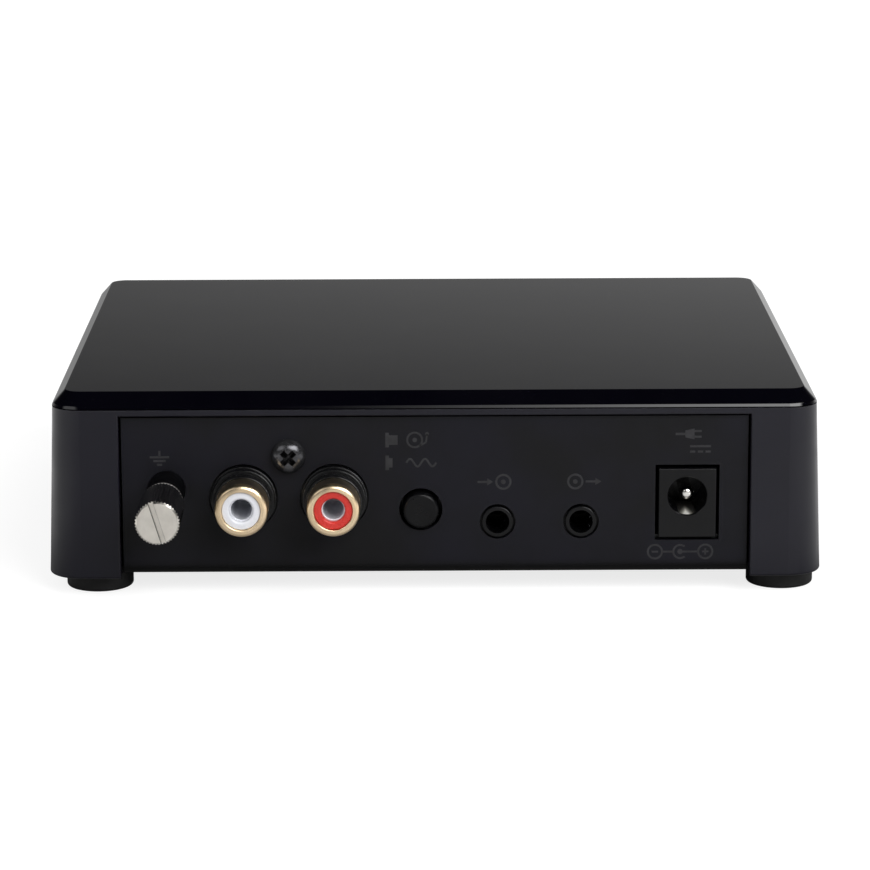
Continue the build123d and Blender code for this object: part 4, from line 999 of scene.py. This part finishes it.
def thumb_screw_thread(material):
    """Ridge wound round the thumb screw's shank.

    At angle a along the helix the section's three corners stand at radius r_k and reach
    pitch * (a / (2 pi) + section_k) from the head. The crest sinks into the shank over the
    first and last half turn.
    """
    head_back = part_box("ground_captive_washer")[0].y
    turns = THREAD_LENGTH / THREAD_PITCH
    angles = np.linspace(0.0, 2 * math.pi * turns, int(turns * THREAD_STEPS) + 1)
    ramp = np.clip(np.minimum(angles, angles[-1] - angles) / math.pi, 0.0, 1.0)
    foot = np.full_like(angles, SHANK_RADIUS - THREAD_FOOT)
    crest = foot + (THREAD_CREST + THREAD_FOOT) * ramp
    radii = np.stack([foot, crest, foot], axis=1)
    turn = angles[:, None]
    reach = THREAD_PITCH * (turn / (2 * math.pi) + np.array(THREAD_SECTION))
    x = ground.x + radii * np.cos(turn)
    z = ground.z + radii * np.sin(turn)
    points = np.stack([x, head_back + reach, z], axis=2).reshape(-1, 3)
    faces = quads(len(angles), 3).tolist()
    last = 3 * (len(angles) - 1)
    faces += [[2, 1, 0], [last, last + 1, last + 2]]
    add_piece("thumb_screw_thread", points, faces, material, "thumb_screw")


# ------ return spring of the switch


def return_spring():
    """Return spring behind the push button: a copy of the CAD spring's mesh on the case, shown in
    place of the CAD node.
    """
    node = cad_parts["switch_spring"]
    piece = bpy.data.objects.new("return_spring", node.data.copy())
    piece.data.materials.clear()
    piece.data.materials.append(node.material_slots[0].material)
    bpy.context.scene.collection.objects.link(piece)
    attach(piece, "case")
    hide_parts("switch_spring")
    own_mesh(piece)


ink = printing_ink().material
dress_all()
return_spring()
earth_mark()
button_mark("mark_button_out", UPPER_MARKS, 1.35 * MM)
button_mark("mark_button_in", LOWER_MARKS, 0.55 * MM)
record_mark()
wave_mark()
jack_mark("mark_line_in", jack_in, False)
jack_mark("mark_line_out", jack_out, True)
plug_mark()
direct_current_mark()
polarity_mark()
thumb_screw_thread(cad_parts["ground_thumb_screw"].material_slots[0].material)

# ------ studio

LENS_MM = 148.705
SENSOR_MM = 36.0
CAMERA_PLACE = (-2.732 * MM, -576.996 * MM, 148.965 * MM)
CAMERA_PITCH = math.radians(12.9461)  # below the horizon
CAMERA_YAW = math.radians(0.2936)  # to the right
CAMERA_ROLL = math.radians(-0.2016)

FLOOR_SIZE = 8.0
FLOOR_DROP = 0.02 * MM  # below the feet
FLOOR_GREY = 0.31
FLOOR_LIFT = (0.80, 0.95)  # what the floor adds to the eye, near the object and far from it
FLOOR_LIFT_REACH = (0.25, 0.9)
FLOOR_MIRROR = (0.08, 0.62)  # what it adds in reflections, from the left to the right
FLOOR_MIRROR_REACH = 0.09  # on each side of the middle
FLOOR_MIRROR_BEHIND = 0.45  # share of that behind the object
FLOOR_BEHIND = (0.0, 0.2)  # where that starts and where it is full
FLOOR_SHADE = (6 * MM, 20 * MM)  # reflections are darker this near to the case
FLOOR_MIRROR_SIDES = 1.0  # brighter again out at both sides
FLOOR_SIDES = (18 * MM, 45 * MM)  # from the case's side walls
FLOOR_SIDES_END = (0.10, 0.22)  # and only up to this far back

AMBIENT = 0.42  # of the world on surfaces that scatter
# What reflections show by direction: grey by its height, then ends of its X, Y or Z.
SWEEP = ((0.0, 0.90), (0.10, 0.60), (0.181, 0.23), (0.213, 0.128), (0.30, 0.03), (0.5, 0.006))
SWEEP_TILT = 2.0  # how fast the sweep brightens to the right
SWEEP_TILT_ENDS = (0.6, 1.4)
SWEEP_FRONT = 0.5  # share of it in front of the object
SWEEP_TURN = (-0.3, 0.3)  # from in front to behind
WINDOW = 7.5  # soft light that reflections show, up on the right in front
WINDOW_FILL = 1.2  # a weaker one on the left
WINDOW_FILL_SIDE = (-0.22, -0.40)
WINDOW_LEFT = (-0.04, 0.18)
WINDOW_RIGHT = (0.62, 0.80)
WINDOW_LOW = (0.34, 0.46)
WINDOW_HIGH = (0.74, 0.86)
WINDOW_FRONT = (-0.1, -0.3)

LAMP_SIZE = 1.2  # side of the square
KEY = ((0.85, -1.25, 1.0), 33.0)  # place and watts
FILL = ((-1.3, -1.0, 1.0), 11.0)


def add_camera():
    """Camera matrix whose columns are right, up and backwards, turned by the roll."""
    ahead = np.array(
        [
            math.sin(CAMERA_YAW) * math.cos(CAMERA_PITCH),
            math.cos(CAMERA_YAW) * math.cos(CAMERA_PITCH),
            -math.sin(CAMERA_PITCH),
        ]
    )
    level = np.array([math.cos(CAMERA_YAW), -math.sin(CAMERA_YAW), 0.0])
    upright = np.cross(level, ahead)
    right = math.cos(CAMERA_ROLL) * level + math.sin(CAMERA_ROLL) * upright
    up = math.cos(CAMERA_ROLL) * upright - math.sin(CAMERA_ROLL) * level
    data = bpy.data.cameras.new("camera")
    data.lens = LENS_MM
    data.sensor_width = SENSOR_MM
    data.clip_start = 0.01
    camera = bpy.data.objects.new("camera", data)
    turn = Matrix((right, up, -ahead)).transposed().to_4x4()
    camera.matrix_world = Matrix.Translation(CAMERA_PLACE) @ turn
    bpy.context.scene.collection.objects.link(camera)
    bpy.context.scene.camera = camera


def rays(tree, *kinds):
    """1 for rays of the given kinds."""
    path = tree.nodes.new("ShaderNodeLightPath")
    total = path.outputs[kinds[0]]
    for kind in kinds[1:]:
        total = maths(tree, "MAXIMUM", total, path.outputs[kind])
    return total


def past(tree, coordinate, low, high):
    """How far a coordinate lies outside a span; negative inside it."""
    off = maths(tree, "ABSOLUTE", maths(tree, "SUBTRACT", coordinate, (low + high) / 2))
    return maths(tree, "SUBTRACT", off, (high - low) / 2)


def add_floor():
    """Pale floor that keeps shadows and runs out into white. Reflections show it dimmer."""
    half = FLOOR_SIZE / 2
    corners = [(-half, -half), (half, -half), (half, half), (-half, half)]
    mesh = bpy.data.meshes.new("floor")
    mesh.from_pydata([(x, y, -FLOOR_DROP) for x, y in corners], [], [(0, 1, 2, 3)])
    floor = bpy.data.objects.new("floor", mesh)
    bpy.context.scene.collection.objects.link(floor)
    material = bpy.data.materials.new("floor_paper")
    material.use_nodes = True
    material.cycles.emission_sampling = "NONE"
    tree = material.node_tree
    shader = tree.nodes["Principled BSDF"]
    shader.inputs["Base Color"].default_value = (FLOOR_GREY, FLOOR_GREY, FLOOR_GREY, 1.0)
    shader.inputs["Roughness"].default_value = 1.0
    shader.inputs["Specular IOR Level"].default_value = 0.0
    shader.inputs["Emission Color"].default_value = (1.0, 1.0, 1.0, 1.0)
    place = object_place(tree)
    away = vector_maths(tree, "LENGTH", place, out="Value")
    across, depth = along(tree, place, "X"), along(tree, place, "Y")
    lift = between(tree, away, *FLOOR_LIFT_REACH, *FLOOR_LIFT)
    mirror = between(tree, across, -FLOOR_MIRROR_REACH, FLOOR_MIRROR_REACH, *FLOOR_MIRROR)
    behind = between(tree, depth, *FLOOR_BEHIND, 1.0, FLOOR_MIRROR_BEHIND)
    mirror = maths(tree, "MULTIPLY", mirror, behind)
    low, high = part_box("shell")
    beside = past(tree, across, low.x, high.x)
    sides = between(tree, beside, *FLOOR_SIDES, 0.0, FLOOR_MIRROR_SIDES)
    glow = maths(tree, "MULTIPLY", sides, between(tree, depth, *FLOOR_SIDES_END, 1.0, 0.0))
    mirror = maths(tree, "MAXIMUM", mirror, glow)
    near = maths(tree, "MAXIMUM", beside, past(tree, depth, low.y, high.y))
    mirror = maths(tree, "MULTIPLY", mirror, between(tree, near, *FLOOR_SHADE))
    seen = maths(tree, "MULTIPLY", rays(tree, "Is Camera Ray", "Is Transmission Ray"), lift)
    strength = maths(tree, "MULTIPLY_ADD", rays(tree, "Is Glossy Ray"), mirror, seen)
    tree.links.new(strength, shader.inputs["Emission Strength"])
    mesh.materials.append(material)


def set_world():
    """White to the eye, even for diffuse light, and a sweep with a soft window for reflections."""
    world = bpy.data.worlds.new("studio")
    bpy.context.scene.world = world
    world.use_nodes = True
    world.cycles.sampling_method = "NONE"
    tree = world.node_tree
    direction = tree.nodes.new("ShaderNodeSeparateXYZ")
    tree.links.new(put(tree, "ShaderNodeTexCoord", out="Generated"), direction.inputs[0])
    across, ahead, up = direction.outputs

    ramp = tree.nodes.new("ShaderNodeValToRGB")
    tree.links.new(up, ramp.inputs["Fac"])
    for position, _ in SWEEP[2:]:
        ramp.color_ramp.elements.new(position)
    for element, (position, grey) in zip(ramp.color_ramp.elements, SWEEP):
        element.position = position
        element.color = (grey, grey, grey, 1.0)
    sweep = put(tree, "ShaderNodeRGBToBW", {"Color": ramp.outputs["Color"]})
    lowest, highest = SWEEP_TILT_ENDS
    tilt = maths(tree, "MULTIPLY_ADD", across, SWEEP_TILT, 1.0)
    tilt = maths(tree, "MINIMUM", maths(tree, "MAXIMUM", tilt, lowest), highest)
    behind = between(tree, ahead, *SWEEP_TURN, SWEEP_FRONT, 1.0)
    sweep = maths(tree, "MULTIPLY", maths(tree, "MULTIPLY", sweep, tilt), behind)

    sides = between(tree, across, *WINDOW_LEFT, 0.0, WINDOW)
    sides = maths(tree, "MULTIPLY", sides, between(tree, across, *WINDOW_RIGHT, 1.0, 0.0))
    sides = maths(tree, "ADD", sides, between(tree, across, *WINDOW_FILL_SIDE, 0.0, WINDOW_FILL))
    window = between(tree, ahead, *WINDOW_FRONT)
    window = maths(tree, "MULTIPLY", window, between(tree, up, *WINDOW_LOW))
    window = maths(tree, "MULTIPLY", window, between(tree, up, *WINDOW_HIGH, 1.0, 0.0))
    mirrored = maths(tree, "MULTIPLY_ADD", window, sides, sweep)

    lit = mix(tree, rays(tree, "Is Glossy Ray"), AMBIENT, mirrored)
    strength = mix(tree, rays(tree, "Is Camera Ray", "Is Transmission Ray"), lit, 1.0)
    background = tree.nodes["Background"]
    background.inputs["Color"].default_value = (1.0, 1.0, 1.0, 1.0)
    tree.links.new(strength, background.inputs["Strength"])


def add_softbox(name, place, watts):
    """Square area lamp that looks at the origin."""
    data = bpy.data.lights.new(name, "AREA")
    data.size = LAMP_SIZE
    data.energy = watts
    lamp = bpy.data.objects.new(name, data)
    back = np.asarray(place) / np.linalg.norm(place)
    right = np.cross((0.0, 0.0, 1.0), back)
    right /= np.linalg.norm(right)
    turn = Matrix((right, np.cross(back, right), back)).transposed().to_4x4()
    lamp.matrix_world = Matrix.Translation(place) @ turn
    lamp.visible_glossy = False
    bpy.context.scene.collection.objects.link(lamp)


bpy.context.scene.view_settings.view_transform = "Standard"
add_camera()
add_floor()
set_world()
add_softbox("key", *KEY)
add_softbox("fill", *FILL)
